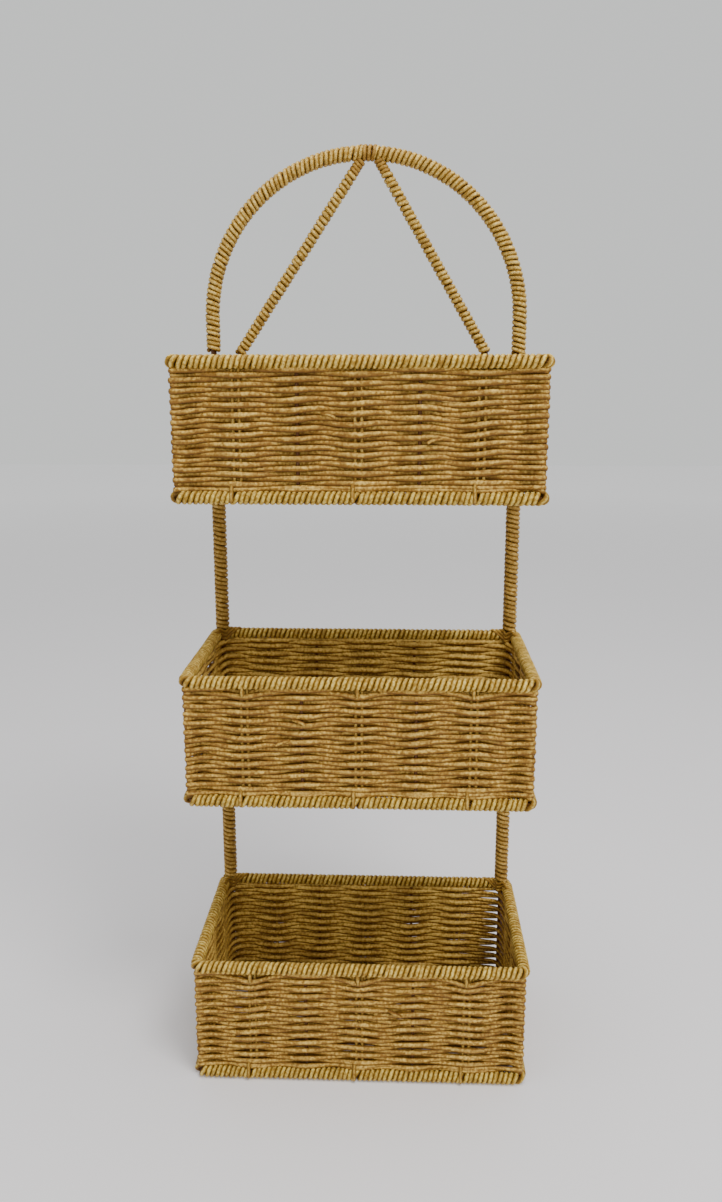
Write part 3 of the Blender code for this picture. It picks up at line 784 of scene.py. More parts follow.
for part, tier in (("lower", "bottom"), ("upper", "middle")):
    for side, sign in SIDES.items():
        sleeve = f"{part}_post_wrap_{side}"
        top_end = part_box(sleeve)[1][Z]
        line = [(sign * post_x, post_y, foot_of_winding(tier)), (sign * post_x, post_y, top_end)]
        path = rail(line, (0, 1, 0))
        ends = (WRAP_CORD / 2, path.distance[-1] - WRAP_CORD / 2)
        runs, outward = winding(path, rod_radius, *ends, seed=POST_SEED[side])
        piece = cord(f"{part}_post_winding_{side}", runs, WRAP_CORD * POST_FULL, outward)
        # The posts take a copy of the hoop's cord painted darker and browner, as the shade of the baskets
        # above.
        dress(piece, "hoop_cord", sleeve, f"{tier}_rim_binding_{side}", finish="shaded_post_cord")
print("last post's winding, mm high:", round(1000 * path.distance[-1], 1))

# %% Wind the arch
LEFT_FOOT_BARE = 0.0030  # bare rod at the left foot
APEX_HALF = 0.0062       # half the width of the tie at the apex
APEX_SHIFT = 0.0026      # the tie sits a little right of the middle, between the brace heads
arch_middle = (0, post_y, arch_centre)


def arch_rail(sign):
    """From the foot of one arch leg up and round to the apex."""
    bare = LEFT_FOOT_BARE if sign < 0 else 0
    foot = (sign * post_x, post_y, foot_of_winding("top") + bare)
    bend = arc(arch_middle, arch_radius, 0, 90, (sign, 0, 0), (0, 0, 1), count=90)
    return rail(np.vstack([[foot], bend]), (0, 1, 0))


for side, sign in SIDES.items():
    path = arch_rail(sign)
    beside_tie = APEX_HALF + sign * APEX_SHIFT - WRAP_CORD / 2
    ends = (WRAP_CORD / 2, path.distance[-1] - beside_tie)
    runs, outward = winding(path, rod_radius, *ends, seed=330 + sign)
    piece = cord(f"arch_winding_{side}", runs, WRAP_CORD * WRAP_FULL, outward)
    dress(piece, "hoop_cord", f"arch_wrap_{side}", f"top_rim_binding_{side}")
print("one leg and its half of the arch, m:", round(path.distance[-1], 3))

# %% [markdown]
# ## Ties under and round the apex
# At the very top the winder stopped with one strand, wound square to the rod and close, in a
# browner stretch of paper. It holds the two windings of the arch and the two brace heads. Each
# brace is wound up from its foot, and its last turns are close and brown as well.

# %% Tie the apex
TIE_PITCH = 0.0036
TIE_LIFT = 0.0008        # the tie lies over the ends of the two windings
APEX_REACH = 8           # degrees of the arch to each side that its rail covers

apex_line = arc(arch_middle, arch_radius, -APEX_REACH, APEX_REACH, (0, 0, 1), (1, 0, 0), count=40)
path = rail(apex_line, (0, 1, 0))
middle = path.distance[-1] / 2 + APEX_SHIFT
tie = (middle - APEX_HALF, middle + APEX_HALF)
runs, outward = winding(path, rod_radius + TIE_LIFT, *tie, seed=350, strands=1, pitch=TIE_PITCH)
dress(cord("apex_tie", runs, WRAP_CORD, outward), "binding_cord", "apex_binding")
print("apex tie, mm wide:", round(2000 * APEX_HALF, 1))

# %% Wind the braces
BRACE_FOOT = {"left": -0.1187, "right": 0.113}     # on the back rim, from the middle
BRACE_HEAD = {"left": -0.0057, "right": 0.0135}    # under the arch, from the middle
BRACE_PITCH = 0.0046
BRACE_FULL = 1.22        # the single strand spreads until its turns touch, too
BRACE_SINK = 0.00015     # and beds down on the thin rod
BRACE_BARE = 0.0022      # bare rod at its foot
FOOT_TURN = 0.3          # of a cord's thickness, from there to the first turn's middle
HEAD_TURNS = 0.0135      # stretch of close, browner turns at a brace's head
HEAD_STEP = 0.1          # of a cord's thickness, between them and the turns below
HEAD_FULL = 0.97
HEAD_SEAT = 0.0032       # the last of them bed into the winding of the arch
brace_radius = half("brace_wrap_left", Y) - abs(post_y - ring_y) / 2
brace_core = brace_radius - WRAP_CORD - BRACE_SINK

for side, sign in SIDES.items():
    node = f"brace_wrap_{side}"
    low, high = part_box(node)
    foot = Vector((BRACE_FOOT[side], ring_y, low[Z]))
    head = Vector((BRACE_HEAD[side], post_y, high[Z]))
    head += (head - foot).normalized() * HEAD_SEAT
    path = rail([foot, head], (0, 1, 0))
    last_turn = path.distance[-1]
    ends = (WRAP_CORD * FOOT_TURN + BRACE_BARE, last_turn - HEAD_TURNS)
    runs, outward = winding(path, brace_core, *ends, seed=360 + sign, strands=1, pitch=BRACE_PITCH)
    dress(cord(f"brace_winding_{side}", runs, WRAP_CORD * BRACE_FULL, outward), "hoop_cord", node)
    ends = (last_turn - HEAD_TURNS + WRAP_CORD * HEAD_STEP, last_turn)
    runs, outward = winding(path, brace_core, *ends, seed=370 + sign, strands=1, pitch=TIE_PITCH)
    dress(cord(f"brace_head_tie_{side}", runs, WRAP_CORD * HEAD_FULL, outward), "binding_cord")
print("brace radius, mm:", round(brace_radius * 1000, 2))

# %% [markdown]
# ## The stakes and the rows
# Two strands chase each other round the eighteen stakes of a basket, each outside one stake and
# inside the next, and half a round apart, so that their rows lie opposite each other. A bump
# pattern on a plain wall could hint at that, but no light would come through it, and the weave
# is what one looks at first. So the strands are really woven. That starts with the stakes, in
# the order in which a strand meets them, and with the height that it has reached at each.

# %% Stakes in the order that a weft meets them
Stake = namedtuple("Stake", "place out radius corner doubled")


def stake_circuit():
    """The stakes, anticlockwise from the front left corner."""
    stakes = []
    diagonal = math.sqrt(0.5)

    def wall(sign):
        for bay in range(1, FRONT_BAYS):
            x = -sign * (bay - FRONT_BAYS / 2) * FRONT_BAY
            doubled = bay % 2 == 1
            radius = STAKE_CORD / 2 if doubled else stake_radius
            stakes.append(Stake((x, sign * stake_y), (0, sign), radius, corner=False, doubled=doubled))

    def end(sign):
        for bay in range(1, SIDE_BAYS):
            y = sign * (bay - SIDE_BAYS / 2) * SIDE_BAY
            place = (sign * stake_x, y)
            stakes.append(Stake(place, (sign, 0), stake_radius, corner=False, doubled=False))

    def corner(x, y, radius):
        out = (math.copysign(diagonal, x), math.copysign(diagonal, y))
        stakes.append(Stake((x, y), out, radius, corner=True, doubled=False))

    corner(-stake_x, -stake_y, stake_radius)
    wall(-1)
    corner(stake_x, -stake_y, stake_radius)
    end(1)
    corner(post_x, post_y, rod_radius)
    wall(1)
    corner(-post_x, post_y, rod_radius)
    end(-1)
    return stakes


STAKES = stake_circuit()
print("stakes:", len(STAKES), "doubled:", sum(stake.doubled for stake in STAKES))

# %% Where the rows lie
ROWS = 24                # weft rows in one basket, shared by two strands
WEFT_CORD = 0.0044       # paper cord woven round the stakes
ROW_SINK = 0.0013        # the end rows bed into the windings of the two rings
FIRST_ROW = ring_radius + WEFT_CORD / 2 - ROW_SINK
LAST_ROW = rim_level["bottom"] - base_level["bottom"] - ring_radius - WEFT_CORD / 2 + ROW_SINK
ROW_PITCH = (LAST_ROW - FIRST_ROW) / ROWS
PASSES = ROWS // 2 * len(STAKES)


def climb(step):
    """Height of a strand after so many stakes; it lies level on the ring at each end."""
    return FIRST_ROW + (LAST_ROW - FIRST_ROW) * min(max(step / PASSES, 0), 1)


print("row pitch, mm:", round(ROW_PITCH * 1000, 2))

# %% [markdown]
# ## How a strand passes a stake
# Half the strand and half the stake say how far out it swings, less the little that the soft
# cord gives where it presses. Between stakes it crosses the line of the wall. At the front
# corners both strands go round the outside, the second one closer in, to keep the wire covered.

# %% Points of a strand at a stake
WEFT_FLAT = (1.10, 0.74)     # the strand is pulled flat against the stakes
FLOAT_FULL = 1.13        # its thickness at a stake
PRESS = 0.0010           # how far it gives where it presses on a stake
BACK_PRESS = 0.0004      # and how much more in the back wall
CORNER_TURNS = (-40, 0, 40)      # degrees round a corner at which it has points
TUCKED = 0.3             # how far out the second strand rides at a front corner
TUCK_REACH = 0.0100      # how far from the corner it is back inside the wall


def at_back(stake):
    """Whether a stake stands in the back wall or at one of its corners."""
    return stake.out[Y] > 0.5


def pass_points(stake, outside):
    """Where a strand runs at one stake: one point, or a few round the outside of a corner."""
    room = WEFT_CORD * WEFT_FLAT[1] * FLOAT_FULL / 2 - PRESS - (BACK_PRESS if at_back(stake) else 0)
    place = np.array(stake.place)
    out = np.array(stake.out)
    off = stake.radius + room
    if not stake.corner:
        return [place + out * (off if outside else -off)]
    if not outside and place[Y] > 0:
        return [place - out * off]
    if not outside:
        off = stake.radius + room * TUCKED
    found = []
    for turn in CORNER_TURNS:
        c = math.cos(math.radians(turn))
        s = math.sin(math.radians(turn))
        found.append(place + np.array([c * out[0] - s * out[1], s * out[0] + c * out[1]]) * off)
    if not outside:
        inward = -np.sign(out)
        deep = stake.radius + room
        along_end = place + inward * np.array([deep, TUCK_REACH])
        along_front = place + inward * np.array([TUCK_REACH, deep])
        found = [along_end, *found, along_front] if place[X] < 0 else [along_front, *found, along_end]
    return found


def wall_line(here, there):
    """Where a strand crosses the line of the wall, between two stakes."""
    middle = (np.array(here.place) + np.array(there.place)) / 2
    for axis, line in ((X, stake_x), (Y, stake_y)):
        same_wall = here.place[axis] * there.place[axis] > 0
        if same_wall and min(abs(here.out[axis]), abs(there.out[axis])) > 0.5:
            middle[axis] = math.copysign(line, middle[axis])
    return middle


print("points round a front corner:", len(pass_points(STAKES[0], outside=True)))

# %% [markdown]
# ## Full where it presses, thin where it dives
# The soft strand is drawn thin where it dives between two stakes and pressed full and flat
# against each stake, which closes the wall. The back wall is beaten closer than the others, but
# the bottom basket was left open at its back right corner, where light comes through.

# %% How full a strand is
DIVE_FULL = 0.87         # its thickness half way between stakes
BACK_FULL = 1.14         # how many times that at the stakes of the back wall
BACK_DIVE = 1.40         # and between those stakes, but not in the open corner
CORNER_FULL = 0.98       # round the outside of a corner
CLOSED_CORNER = 1.38     # round the outside of a back corner, where no light comes through
OPEN_CORNER = 0.88       # round the one open corner, where it does
OPEN_END = 0.11          # how far right of the middle that corner begins


def lets_light_in(stake, tier):
    """Whether a stake is in the one loosely woven corner."""
    return tier == "bottom" and at_back(stake) and stake.place[X] > OPEN_END


def fullness_at(stake, around, tier):
    """How full a strand is at a stake, or where it goes around a corner."""
    if lets_light_in(stake, tier):
        return OPEN_CORNER
    if at_back(stake) and around:
        return CLOSED_CORNER
    return (CORNER_FULL if around else FLOAT_FULL) * (BACK_FULL if at_back(stake) else 1)


def dive_fullness(stake, tier):
    """How full a strand is half way to the next stake."""
    closed = at_back(stake) and not lets_light_in(stake, tier)
    return DIVE_FULL * (BACK_DIVE if closed else 1)


print("stakes in the open corner:", sum(lets_light_in(stake, "bottom") for stake in STAKES))

# %% [markdown]
# ## Rows that stray
# No row of a hand-woven wall is level. Rows rise and fall together in slow waves, each strays a
# little by itself, and the top rows of the front dip under the cut ends of the doubled stakes.
# Each of these is a height to add, so they can be tried and measured one by one.

# %% Rows that rise and fall together
WALL_SWAY = 0.0012       # how far they do
SWAY_WAVES = (31, 57, 83, 140)   # radians in a metre along the front
SWAY_END = 1.3           # the same along the ends, as a share of those
SWAY_LEAN = 75           # radians in a metre up the wall, at most
SWAY_PHASE = 6.3         # where a wave may start, radians


def wall_sway(flat, height, seed):
    """Rows rise and fall together, and less at the rings that hold them."""
    chance = np.random.default_rng(seed)
    held = np.sin(np.pi * np.clip((height - FIRST_ROW) / (LAST_ROW - FIRST_ROW), 0, 1))
    sway = np.zeros(len(flat))
    for wave in SWAY_WAVES:
        lean = chance.uniform(-SWAY_LEAN, SWAY_LEAN)
        phase = chance.uniform(0, SWAY_PHASE)
        sway += np.sin(wave * (flat[:, 0] + SWAY_END * flat[:, 1]) + lean * height + phase)
    return WALL_SWAY * held * sway / 2


print("rows sway at most, mm:", 1000 * WALL_SWAY * len(SWAY_WAVES) / 2)

# %% Rows that dip under cut ends
TAB_DIP = {"bottom": 0.0048, "middle": 0.0036, "top": 0.0010}
TAB_REACH = 0.012        # how far along the rim a dip spreads
DIP_DEPTH = 0.030        # how far down the wall it is felt


def tab_dip(flat, height, tier):
    """The front wall's top rows dip under the cut end of each doubled stake."""
    dip = np.zeros(len(flat))
    near_rim = np.clip((height - (LAST_ROW - DIP_DEPTH)) / DIP_DEPTH, 0, 1) ** 2
    for stake in STAKES:
        if stake.doubled and stake.out[Y] < 0:
            away = np.hypot(flat[:, 0] - stake.place[0], flat[:, 1] - stake.place[1])
            dip += np.exp(-(away / TAB_REACH) ** 2)
    return -TAB_DIP[tier] * near_rim * dip


print("dips, mm:", {tier: round(1000 * dip, 1) for tier, dip in TAB_DIP.items()})

# %% [markdown]
# ## One strand from base to rim
# A smooth curve through the few points of each bay gives the lens-shaped floats that make a wall
# look woven, and not like stacked rings. A Catmull-Rom curve is the right one here, because it
# passes through its points. The same curve carries the height and the fullness of the strand.

# %% A smooth curve through points
def smooth(points, samples):
    """A Catmull-Rom curve through points, with a few samples between each two."""
    padded = np.vstack([2 * points[0] - points[1], points, 2 * points[-1] - points[-2]])
    t = np.linspace(0, 1, samples, endpoint=False)[:, None]
    pieces = []
    for a, b, c, d in zip(padded, padded[1:], padded[2:], padded[3:]):
        bend = 2 * a - 5 * b + 4 * c - d
        twist = 3 * b - a - 3 * c + d
        pieces.append(0.5 * (2 * b + (c - a) * t + bend * t ** 2 + twist * t ** 3))
    return np.vstack(pieces + [points[-1:]])


print("points on a curve through four:", len(smooth(np.eye(4), 5)))

# %% Points of one strand, stake by stake
LEAD_IN = 9              # stakes that a strand passes lying on the base ring, or under the rim
WIRE_SEAT = 0.0003       # between the base ring's winding and the wires under the floor
WIRE_FLOOR = ring_radius + WIRE_SEAT + stake_radius      # those wires, over the base ring
FLOOR_TOP = WIRE_FLOOR + stake_radius    # a lower pass would meet a stake's run under the floor
CORNER_CLIMB = 0.05      # bays' worth of height between its points round a corner


def strand_points(first_stake, tier):
    """Where one strand goes, seen from above, with its height and fullness at each point."""
    places = []
    rise = []
    fullness = []
    for step in range(-LEAD_IN, PASSES + LEAD_IN + 1):
        stake = STAKES[(first_stake + step) % len(STAKES)]
        over_floor = stake.corner or climb(step) > FLOOR_TOP + WEFT_CORD / 2
        found = pass_points(stake, outside=step % 2 == 0 or not over_floor)
        for k, place in enumerate(found):
            places.append(place)
            rise.append(climb(step + (k - (len(found) - 1) / 2) * CORNER_CLIMB))
            fullness.append(fullness_at(stake, len(found) > 1, tier))
        if step < PASSES + LEAD_IN:
            following = STAKES[(first_stake + step + 1) % len(STAKES)]
            places.append(wall_line(stake, following))
            rise.append(climb(step + 0.5))
            fullness.append(dive_fullness(stake, tier))
    return np.array(places), np.array(rise)[:, None], np.array(fullness)[:, None]


print("points of a strand:", len(strand_points(0, "top")[0]))

# %% The run of one strand
RUN_SAMPLES = 5          # points of the run for each of these
ROW_SWAY = 0.00045       # each row's own rise and fall
ROW_LOOSE = 0.6          # share of it along the middle of the basket
FRONT_LOOSER = 0.45      # more of it at the front, and as much less at the close-beaten back
FLOAT_SWAY = 0.0004      # how far floats swell in and out of the wall


def weft_run(first_stake, tier, seed):
    """Points of one strand from the base ring up to the rim, which way is out, and its fullness."""
    flat, height, full = (smooth(values, RUN_SAMPLES) for values in strand_points(first_stake, tier))
    height = height[:, 0]
    along = np.gradient(flat, axis=0)
    out = np.column_stack([along[:, 1], -along[:, 0]]) / np.linalg.norm(along, axis=1)[:, None]
    share = np.linspace(0, 1, len(height))
    height = height + wall_sway(flat, height, seed) + tab_dip(flat, height, tier)
    loose = ROW_LOOSE - FRONT_LOOSER * flat[:, 1] / stake_y
    height += loose * ROW_SWAY * wander(share, seed + first_stake, waves=12, quickest=170)
    flat = flat + FLOAT_SWAY * out * wander(share, seed + first_stake + 3, waves=12, quickest=150)[:, None]
    out = np.column_stack([out, np.zeros(len(out))])
    return np.column_stack([flat, height + base_level[tier]]), out, full[:, 0]


print("one strand, m:", round(distances(weft_run(0, "top", seed=502)[0])[-1], 2))

# %% Weave the walls
INNER_HIGHLIGHT = 1.12      # the inner face of a wall is painted pale like the crown, with no painted shade
UPWARD = 0.5             # the painted highlight and shade lean upwards, so the upper side of each row is painted lighter
DIVE_HIGHLIGHT = 0.90         # the crown's pale half way between stakes, lowered as painted shade where a strand lies deep
WEFT_UNEVEN = 0.08

for number, tier in enumerate(TIERS):
    for strand, first_stake in (("a", 0), ("b", len(STAKES) // 2)):
        run, outward, full = weft_run(first_stake, tier, seed=500 + number)
        # Where the strand dives between stakes its crown is painted less pale, as shade.
        worn = np.interp(full, (DIVE_FULL, FLOAT_FULL), (DIVE_HIGHLIGHT, 1))
        shape = Shape(WEFT_FLAT, WEFT_UNEVEN, full, INNER_HIGHLIGHT, UPWARD, worn)
        piece = cord(f"{tier}_weft_strand_{strand}", [run], WEFT_CORD, [outward], shape=shape)
        dress(piece, "weft_cord", f"{tier}_weft_{strand}")
print("points of the last run:", len(run))

# %% [markdown]
# ## Doubled stakes
# Every second stake along the front and back is no wire but a doubled cord. It comes down the
# front, runs under the floor over the two long wires, and goes up the back. At the base one of
# its strands is brought over the outside of the ring, as a tie. At the rim its cut end hangs
# over the first row, which has to dip under it; the top basket's ends were cut shorter.

# %% Where a doubled stake turns and rises
STAKE_BEND = 0.004       # where a strand turns under the floor
WIRE_REACH = 0.007       # how far beside a long wire a strand begins to rise over it
UP = (0, 0, 1)


def floor_lift(y):
    """How far a strand under the floor rises to clear the long wires."""
    wires = (-SIDE_BAY / 2, SIDE_BAY / 2)
    return sum((stake_radius + STAKE_CORD / 2) * math.exp(-((y - wire) / WIRE_REACH) ** 2) for wire in wires)


def stake_strand(x, top):
    """Down the front wall, under the floor and up the back wall, over the base ring's level."""
    low = WIRE_FLOOR + STAKE_BEND
    turn = stake_y - STAKE_BEND
    front = arc((x, -turn, low), STAKE_BEND, 180, 270, (0, 1, 0), UP, count=6)
    back = arc((x, turn, low), STAKE_BEND, 270, 360, (0, 1, 0), UP, count=6)
    walls = [np.array([[x, y, z] for z in np.linspace(low, top, 24)]) for y in (-stake_y, stake_y)]
    floor = np.array([[x, y, WIRE_FLOOR + floor_lift(y)] for y in np.linspace(-turn, turn, 40)[1:-1]])
    return np.vstack([walls[0][::-1], front[1:], floor, back[:-1], walls[1]])


print("a strand rises over a long wire by, mm:", round(1000 * floor_lift(SIDE_BAY / 2), 2))

# %% Its tie and its cut end
TIE_RISE = 0.0125        # how far over the base ring a tie comes out of the wall
DRAWN_SAMPLES = 5        # between points that are given one by one, here and for lashings and loose ends


def tie_strand(x):
    """A strand that comes out of the wall, over the front of the base ring and in under it."""
    outer = ring_y + ring_radius
    points = np.array([
        (x, -stake_y, TIE_RISE),
        (x, -stake_y - 0.0040, ring_radius + 0.0042),
        (x, -outer + 0.0010, ring_radius * 0.62),
        (x, -outer - 0.0002, 0.0),
        (x, -outer + 0.0012, -ring_radius * 0.42),
        (x, -ring_y, -ring_radius * 0.45),
    ])
    return smooth(points, DRAWN_SAMPLES)


def tab_strand(x, top, drop):
    """A cut end that hangs from the underside of the rim."""
    points = np.array([
        (x, -ring_y, top + ring_radius * 0.7),
        (x, -ring_y - 0.0026, top + 0.0010),
        (x + 0.0002, -ring_y - 0.0033, top - drop),
    ])
    return smooth(points, DRAWN_SAMPLES)


print("a tie, mm long:", round(1000 * distances(tie_strand(0))[-1], 1))

# %% Run all doubled stakes
STAKE_PAIR = 0.0052      # between the two strands
STAKE_TUCK = 0.001       # how far into the rim they end
TAB_TIERS = ("bottom", "middle")
TAB_SHIFT = 0.0012       # a cut end hangs this far left of the stake
TAB_DROP = 0.0018        # and this much lower than the dip of the row

for tier in TIERS:
    top = rim_level[tier] - base_level[tier] - ring_radius
    for side, bay in zip(("left", "centre", "right"), CORD_BAYS):
        x = bay * FRONT_BAY
        runs = [stake_strand(x + way * STAKE_PAIR / 2, top + STAKE_TUCK) for way in (-1, 1)]
        runs.append(tie_strand(x + TIE_SHIFT))
        if tier in TAB_TIERS:
            runs.append(tab_strand(x - TAB_SHIFT, top, TAB_DIP[tier] + TAB_DROP))
        outward = []
        for run in runs:
            run[:, Z] += base_level[tier]
            outward.append(np.tile((0.0, -1.0, 0.0), (len(run), 1)))
        piece = cord(f"{tier}_doubled_stake_{side}", runs, STAKE_CORD, outward)
        dress(piece, "stake_cord", f"{tier}_cord_stake_{side}")
print("doubled stakes:", len(TIERS) * len(CORD_BAYS))

# %% [markdown]
# ## The floors
# A floor is woven too: one strand goes back and forth along the basket, over one of the stakes
# that run under the floor and under the next, and the other way round on its next row. Two rows
# are missing, where the long wires lie in their place. Near the corners the rows are shorter,
# because the hoop's rod and the wall stand there.

# %% Rows of a floor
FLOOR_PITCH = 0.0039
FLOOR_CORD = 0.0042
FLOOR_MARGIN = 0.0048    # line of stakes to the ends of the rows
FLOOR_CORNER = 0.016     # how far from a corner rows are shorter


def row_reach(y):
    """Half the length of a floor row, which is shorter near the corners."""
    half_depth = stake_y - FLOOR_MARGIN
    into_corner = max(0, abs(y) - (half_depth - FLOOR_CORNER))
    return stake_x - FLOOR_MARGIN - FLOOR_CORNER + math.sqrt(FLOOR_CORNER ** 2 - into_corner ** 2)


def floor_rows():
    """The places of the rows from front to back, without those that the long wires take."""
    last = stake_y - FLOOR_MARGIN - FLOOR_CORD / 2
    count = int(2 * last / FLOOR_PITCH) + 1
    places = np.linspace(-last, last, count)
    return [y for y in places if abs(abs(y) - SIDE_BAY / 2) > FLOOR_PITCH / 2]


print("floor rows:", len(floor_rows()))

# %% Weave the floors
FLOOR_FLAT = (0.76, 1.12)
FLOOR_UNEVEN = 0.05
FLOOR_STRAY = 0.0003     # how far a row strays where it crosses a stake
FLOOR_BAYS = (-2, -1, 0, 1, 2)
FLOOR_SAMPLES = 6
floor_rise = stake_radius + FLOOR_CORD * FLOOR_FLAT[0] / 2 - PRESS


def floor_run(seed):
    """One strand back and forth through the floor, over the base ring's level."""
    chance = np.random.default_rng(seed)
    points = []
    for number, y in enumerate(floor_rows()):
        way = 1 if number % 2 == 0 else -1
        reach = row_reach(y)
        points.append((-way * reach, y, WIRE_FLOOR))
        for bay in FLOOR_BAYS[::way]:
            side = 1 if (bay + number) % 2 == 0 else -1
            stray = chance.uniform(-1, 1) * FLOOR_STRAY
            points.append((bay * FRONT_BAY, y + stray, WIRE_FLOOR + side * floor_rise))
        points.append((way * reach, y, WIRE_FLOOR))
    return smooth(np.array(points), FLOOR_SAMPLES)


for number, tier in enumerate(TIERS):
    run = floor_run(seed=700 + number)
    lifted = np.abs(run[:, Z] - WIRE_FLOOR) / floor_rise
    full = DIVE_FULL + (FLOAT_FULL - DIVE_FULL) * np.minimum(lifted, 1)
    run[:, Z] += base_level[tier]
    shape = Shape(FLOOR_FLAT, FLOOR_UNEVEN, full, inner=1)
    dress(cord(f"{tier}_woven_floor", [run], FLOOR_CORD, shape=shape), "mat_cord", f"{tier}_floor_mat")
print("strand of a floor, m:", round(distances(run)[-1], 2))

# %% [markdown]
# ## Lashings and loose ends
# Where the rod passes a rim, three turns of cord run from the back of the ring, round the inside
# of the rod, to the end of the ring, in a V. That is what holds the rod in its corner. A weaver's
# joins leave a few cut ends in the walls, which are part of how such a basket looks.

# %% Lash the rod to the rims
LASHINGS = 3
LASH_REACH = 0.0085      # from the rod's axis to where the first turn goes over the rim
LASH_SPREAD = 0.0034     # from turn to turn along the rim
LASH_STEP = 0.0036       # from turn to turn down the rod
LASH_FULL = 0.9


def lashing(sign, number, level):
    """One V-shaped turn from the back of a ring, inside the rod, to the end of the ring."""
    inside = (rod_radius + WRAP_CORD / 2) * math.sqrt(0.5)
    reach = LASH_REACH + LASH_SPREAD * number
    crown = ring_radius * 0.95
    drop = LASH_STEP * number
    points = np.array([
        (sign * (post_x - reach), ring_y + 0.001, level + ring_radius * 0.3),
        (sign * (post_x - reach), ring_y - 0.0015, level + crown),
        (sign * (post_x - inside - 0.0022), post_y - 0.0012, level + 0.0055 - drop),
        (sign * (post_x - inside), post_y - inside, level + 0.0030 - drop),
        (sign * (post_x + 0.0012), post_y - inside - 0.0022, level + 0.0055 - drop),
        (sign * (ring_x - 0.0015), post_y - reach, level + crown),
        (sign * (ring_x + 0.001), post_y - reach, level + ring_radius * 0.3),
    ])
    return smooth(points, DRAWN_SAMPLES)


for tier in TIERS:
    for side, sign in SIDES.items():
        runs = [lashing(sign, number, rim_level[tier]) for number in range(LASHINGS)]
        dress(cord(f"{tier}_rod_lashing_{side}", runs, WRAP_CORD * LASH_FULL), "hoop_cord")
print("lashings:", len(TIERS) * len(SIDES) * LASHINGS)

# %% Leave a few cut ends
LooseEnd = namedtuple("LooseEnd", "tier bays rows way")
LOOSE_ENDS = (
    LooseEnd("middle", -1.15, 17.3, 1),
    LooseEnd("middle", -1.22, 12.6, -1),
    LooseEnd("bottom", 0.55, 15.2, 1),
    LooseEnd("top", 1.35, 10.4, -1),
    LooseEnd("top", -0.6, 15.4, 1),
)
END_LENGTH = 0.011
END_FULL = 0.7


def loose_end(end):
    """A cut end that slants out between two rows of the front wall."""
    x = end.bays * FRONT_BAY
    z = base_level[end.tier] + FIRST_ROW + end.rows * ROW_PITCH
    wall = -stake_y - stake_radius
    points = np.array([
        (x, wall, z),
        (x + end.way * END_LENGTH * 0.5, wall - 0.0034, z - 0.0006),
        (x + end.way * END_LENGTH, wall - 0.0040, z - 0.0030),
    ])
    return smooth(points, DRAWN_SAMPLES)


for number, end in enumerate(LOOSE_ENDS):
    run = loose_end(end)
    outward = np.tile((0.0, -1.0, 0.0), (len(run), 1))
    dress(cord(f"loose_end_{number}", [run], WEFT_CORD * END_FULL, [outward]), "weft_cord")
print("loose ends:", len(LOOSE_ENDS))

# %% [markdown]
# ## Camera, floor and light
# The camera stands where the photograph was taken from: just over the middle of the top basket,
# 0.9 m in front, tipped down thirteen degrees. The floor is plain, and glows, faintly near the
# caddy and as pale as the wall behind it far off, so that it has no edge. A large soft light comes
# from high on the right, as the shading of the baskets shows. Weaker ones come from above, from the
# left, and from beside the camera, which is the one that reaches into the baskets.

# %% Camera
PHOTO_HEIGHT = 1202
FOCAL_PIXELS = 1003.9
CAMERA_PLACE = Vector((0.0330, -0.8769, 0.6319))
CAMERA_YAW = -0.03901
CAMERA_DOWN = 0.22607
CAMERA_ROLL = -0.00084

lens = bpy.data.cameras.new("photo_camera")
lens.sensor_fit = "VERTICAL"
lens.sensor_height = 36.0
lens.lens = FOCAL_PIXELS / PHOTO_HEIGHT * lens.sensor_height
lens.clip_start = 0.01
camera = bpy.data.objects.new("photo_camera", lens)
camera.location = CAMERA_PLACE
ahead = Vector((
    math.sin(CAMERA_YAW) * math.cos(CAMERA_DOWN),
    math.cos(CAMERA_YAW) * math.cos(CAMERA_DOWN),
    -math.sin(CAMERA_DOWN),
))
turned = ahead.to_track_quat("-Z", "Y").to_matrix().to_4x4() @ Matrix.Rotation(CAMERA_ROLL, 4, "Z")
camera.rotation_euler = turned.to_euler()
bpy.context.scene.collection.objects.link(camera)
bpy.context.scene.camera = camera
print("lens, mm:", round(lens.lens, 2))

# %% Floor
FLOOR_HALF = 6.0             # half the floor's width, m
FLOOR_PAINT = ((0.80, 0.785, 0.80), (0.84, 0.825, 0.84))     # a faint mottle
FLOOR_GLOW = ((0.10, 0.10, 0.105), (0.46, 0.47, 0.47))       # near the caddy, and far from it
FLOOR_FADE = (0.5, 4.5)      # metres over which its glow grows as pale as the wall behind it


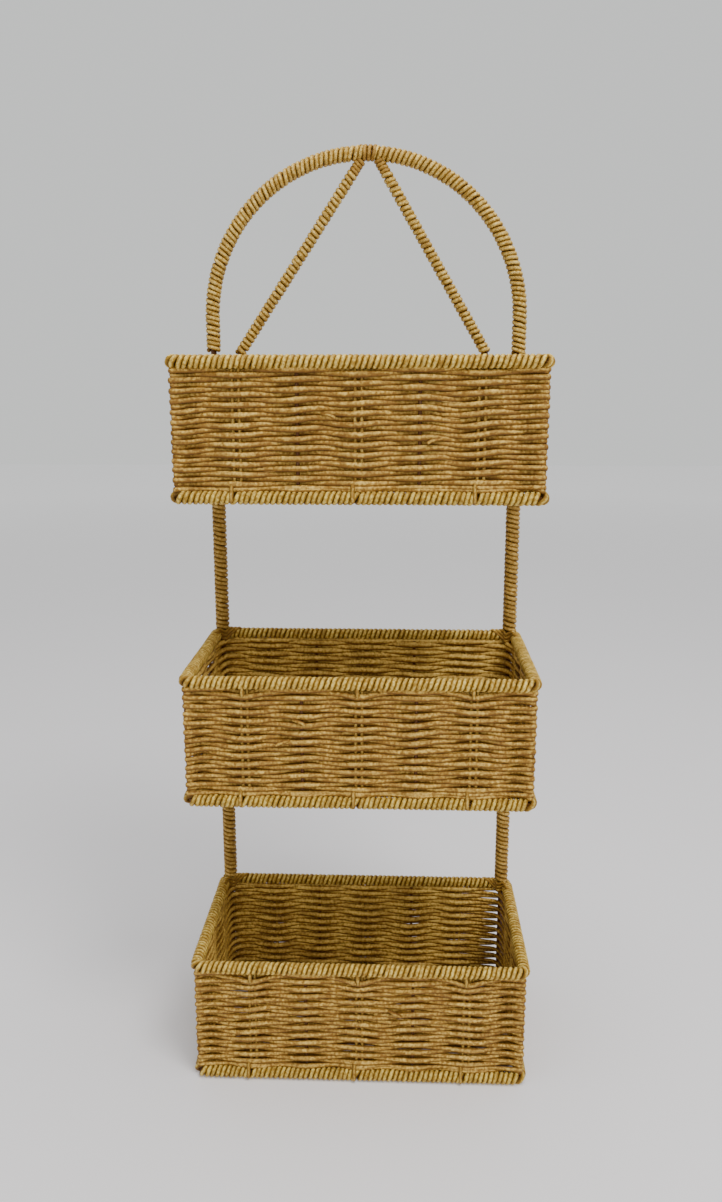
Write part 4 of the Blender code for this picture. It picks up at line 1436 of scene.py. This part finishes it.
def pale_floor():
    """A large plain floor with a faint mottle, which glows faintly near the caddy and more with distance, and
    so fades into the pale surroundings.
    """
    bm = bmesh.new()
    bmesh.ops.create_grid(bm, x_segments=1, y_segments=1, size=FLOOR_HALF)
    mesh = bpy.data.meshes.new("studio_floor")
    bm.to_mesh(mesh)
    bm.free()
    floor = bpy.data.objects.new("studio_floor", mesh)
    bpy.context.scene.collection.objects.link(floor)
    made = bpy.data.materials.new("pale_floor")
    made.use_nodes = True
    tree = made.node_tree
    where = add(tree, "ShaderNodeTexCoord")
    shade = blend(tree, noise(tree, where.outputs["Object"], scale=2.5), *FLOOR_PAINT)
    shader = tree.nodes["Principled BSDF"]
    tree.links.new(shade, shader.inputs["Base Color"])
    shader.inputs["Roughness"].default_value = 0.6
    reach = add(tree, "ShaderNodeVectorMath", operation="LENGTH")
    tree.links.new(where.outputs["Object"], reach.inputs[0])
    glow = blend(tree, mapped(tree, reach.outputs["Value"], *FLOOR_FADE), *FLOOR_GLOW)
    tree.links.new(glow, shader.inputs["Emission Color"])
    shader.inputs["Emission Strength"].default_value = 1.0
    floor.data.materials.append(made)
    floor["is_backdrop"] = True


pale_floor()
print("floor, m across:", 2 * FLOOR_HALF)

# %% Lights
Light = namedtuple("Light", "name place size watts tint", defaults=((1, 1, 1),))
LIGHTS = (
    Light("key", (1.0, -1.25, 2.45), 0.9, 42, (1.0, 0.985, 0.96)),
    Light("front", (0.4, -2.2, 1.5), 0.9, 10),
    Light("fill", (-1.8, -1.4, 1.0), 1.6, 4),
    Light("top", (0.1, -0.1, 2.4), 1.2, 27),
)
MIDDLE = Vector((0, 0, 0.42))        # of the caddy, where every light points


def soft_light(light):
    """A square area light that looks at the middle of the caddy."""
    data = bpy.data.lights.new(light.name, "AREA")
    data.shape = "SQUARE"
    data.size = light.size
    data.energy = light.watts
    data.color = light.tint
    lamp = bpy.data.objects.new(light.name, data)
    lamp.location = light.place
    lamp.rotation_euler = (MIDDLE - Vector(light.place)).to_track_quat("-Z", "Y").to_euler()
    bpy.context.scene.collection.objects.link(lamp)


for light in LIGHTS:
    soft_light(light)
print("lights, W:", {light.name: light.watts for light in LIGHTS})

# %% Surroundings
SKY_SEEN = (0.80, 0.815, 0.805)      # the pale wall that the camera sees
SKY_LIGHT = (0.42, 0.42, 0.415)      # the weaker light that it sends back


def surroundings():
    """A plain pale world, brighter where the camera looks straight at it."""
    world = bpy.data.worlds.new("studio")
    world.use_nodes = True
    tree = world.node_tree
    rays = add(tree, "ShaderNodeLightPath")
    colour = blend(tree, rays.outputs["Is Camera Ray"], SKY_LIGHT, SKY_SEEN)
    tree.links.new(colour, tree.nodes["Background"].inputs["Color"])
    bpy.context.scene.world = world


surroundings()
print("world:", bpy.context.scene.world.name)

# %% [markdown]
# ## Check the size
# The dressed caddy must stay inside the frame's box, apart from a few millimetres of cord. How far
# it passes that box is printed.

# %% How far cord passes the frame
low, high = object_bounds()
past = [max(cad_box[0][axis] - low[axis], high[axis] - cad_box[1][axis], 0) for axis in (X, Y, Z)]
print("cord passes the frame by, mm:", [round(1000 * float(over), 1) for over in past])
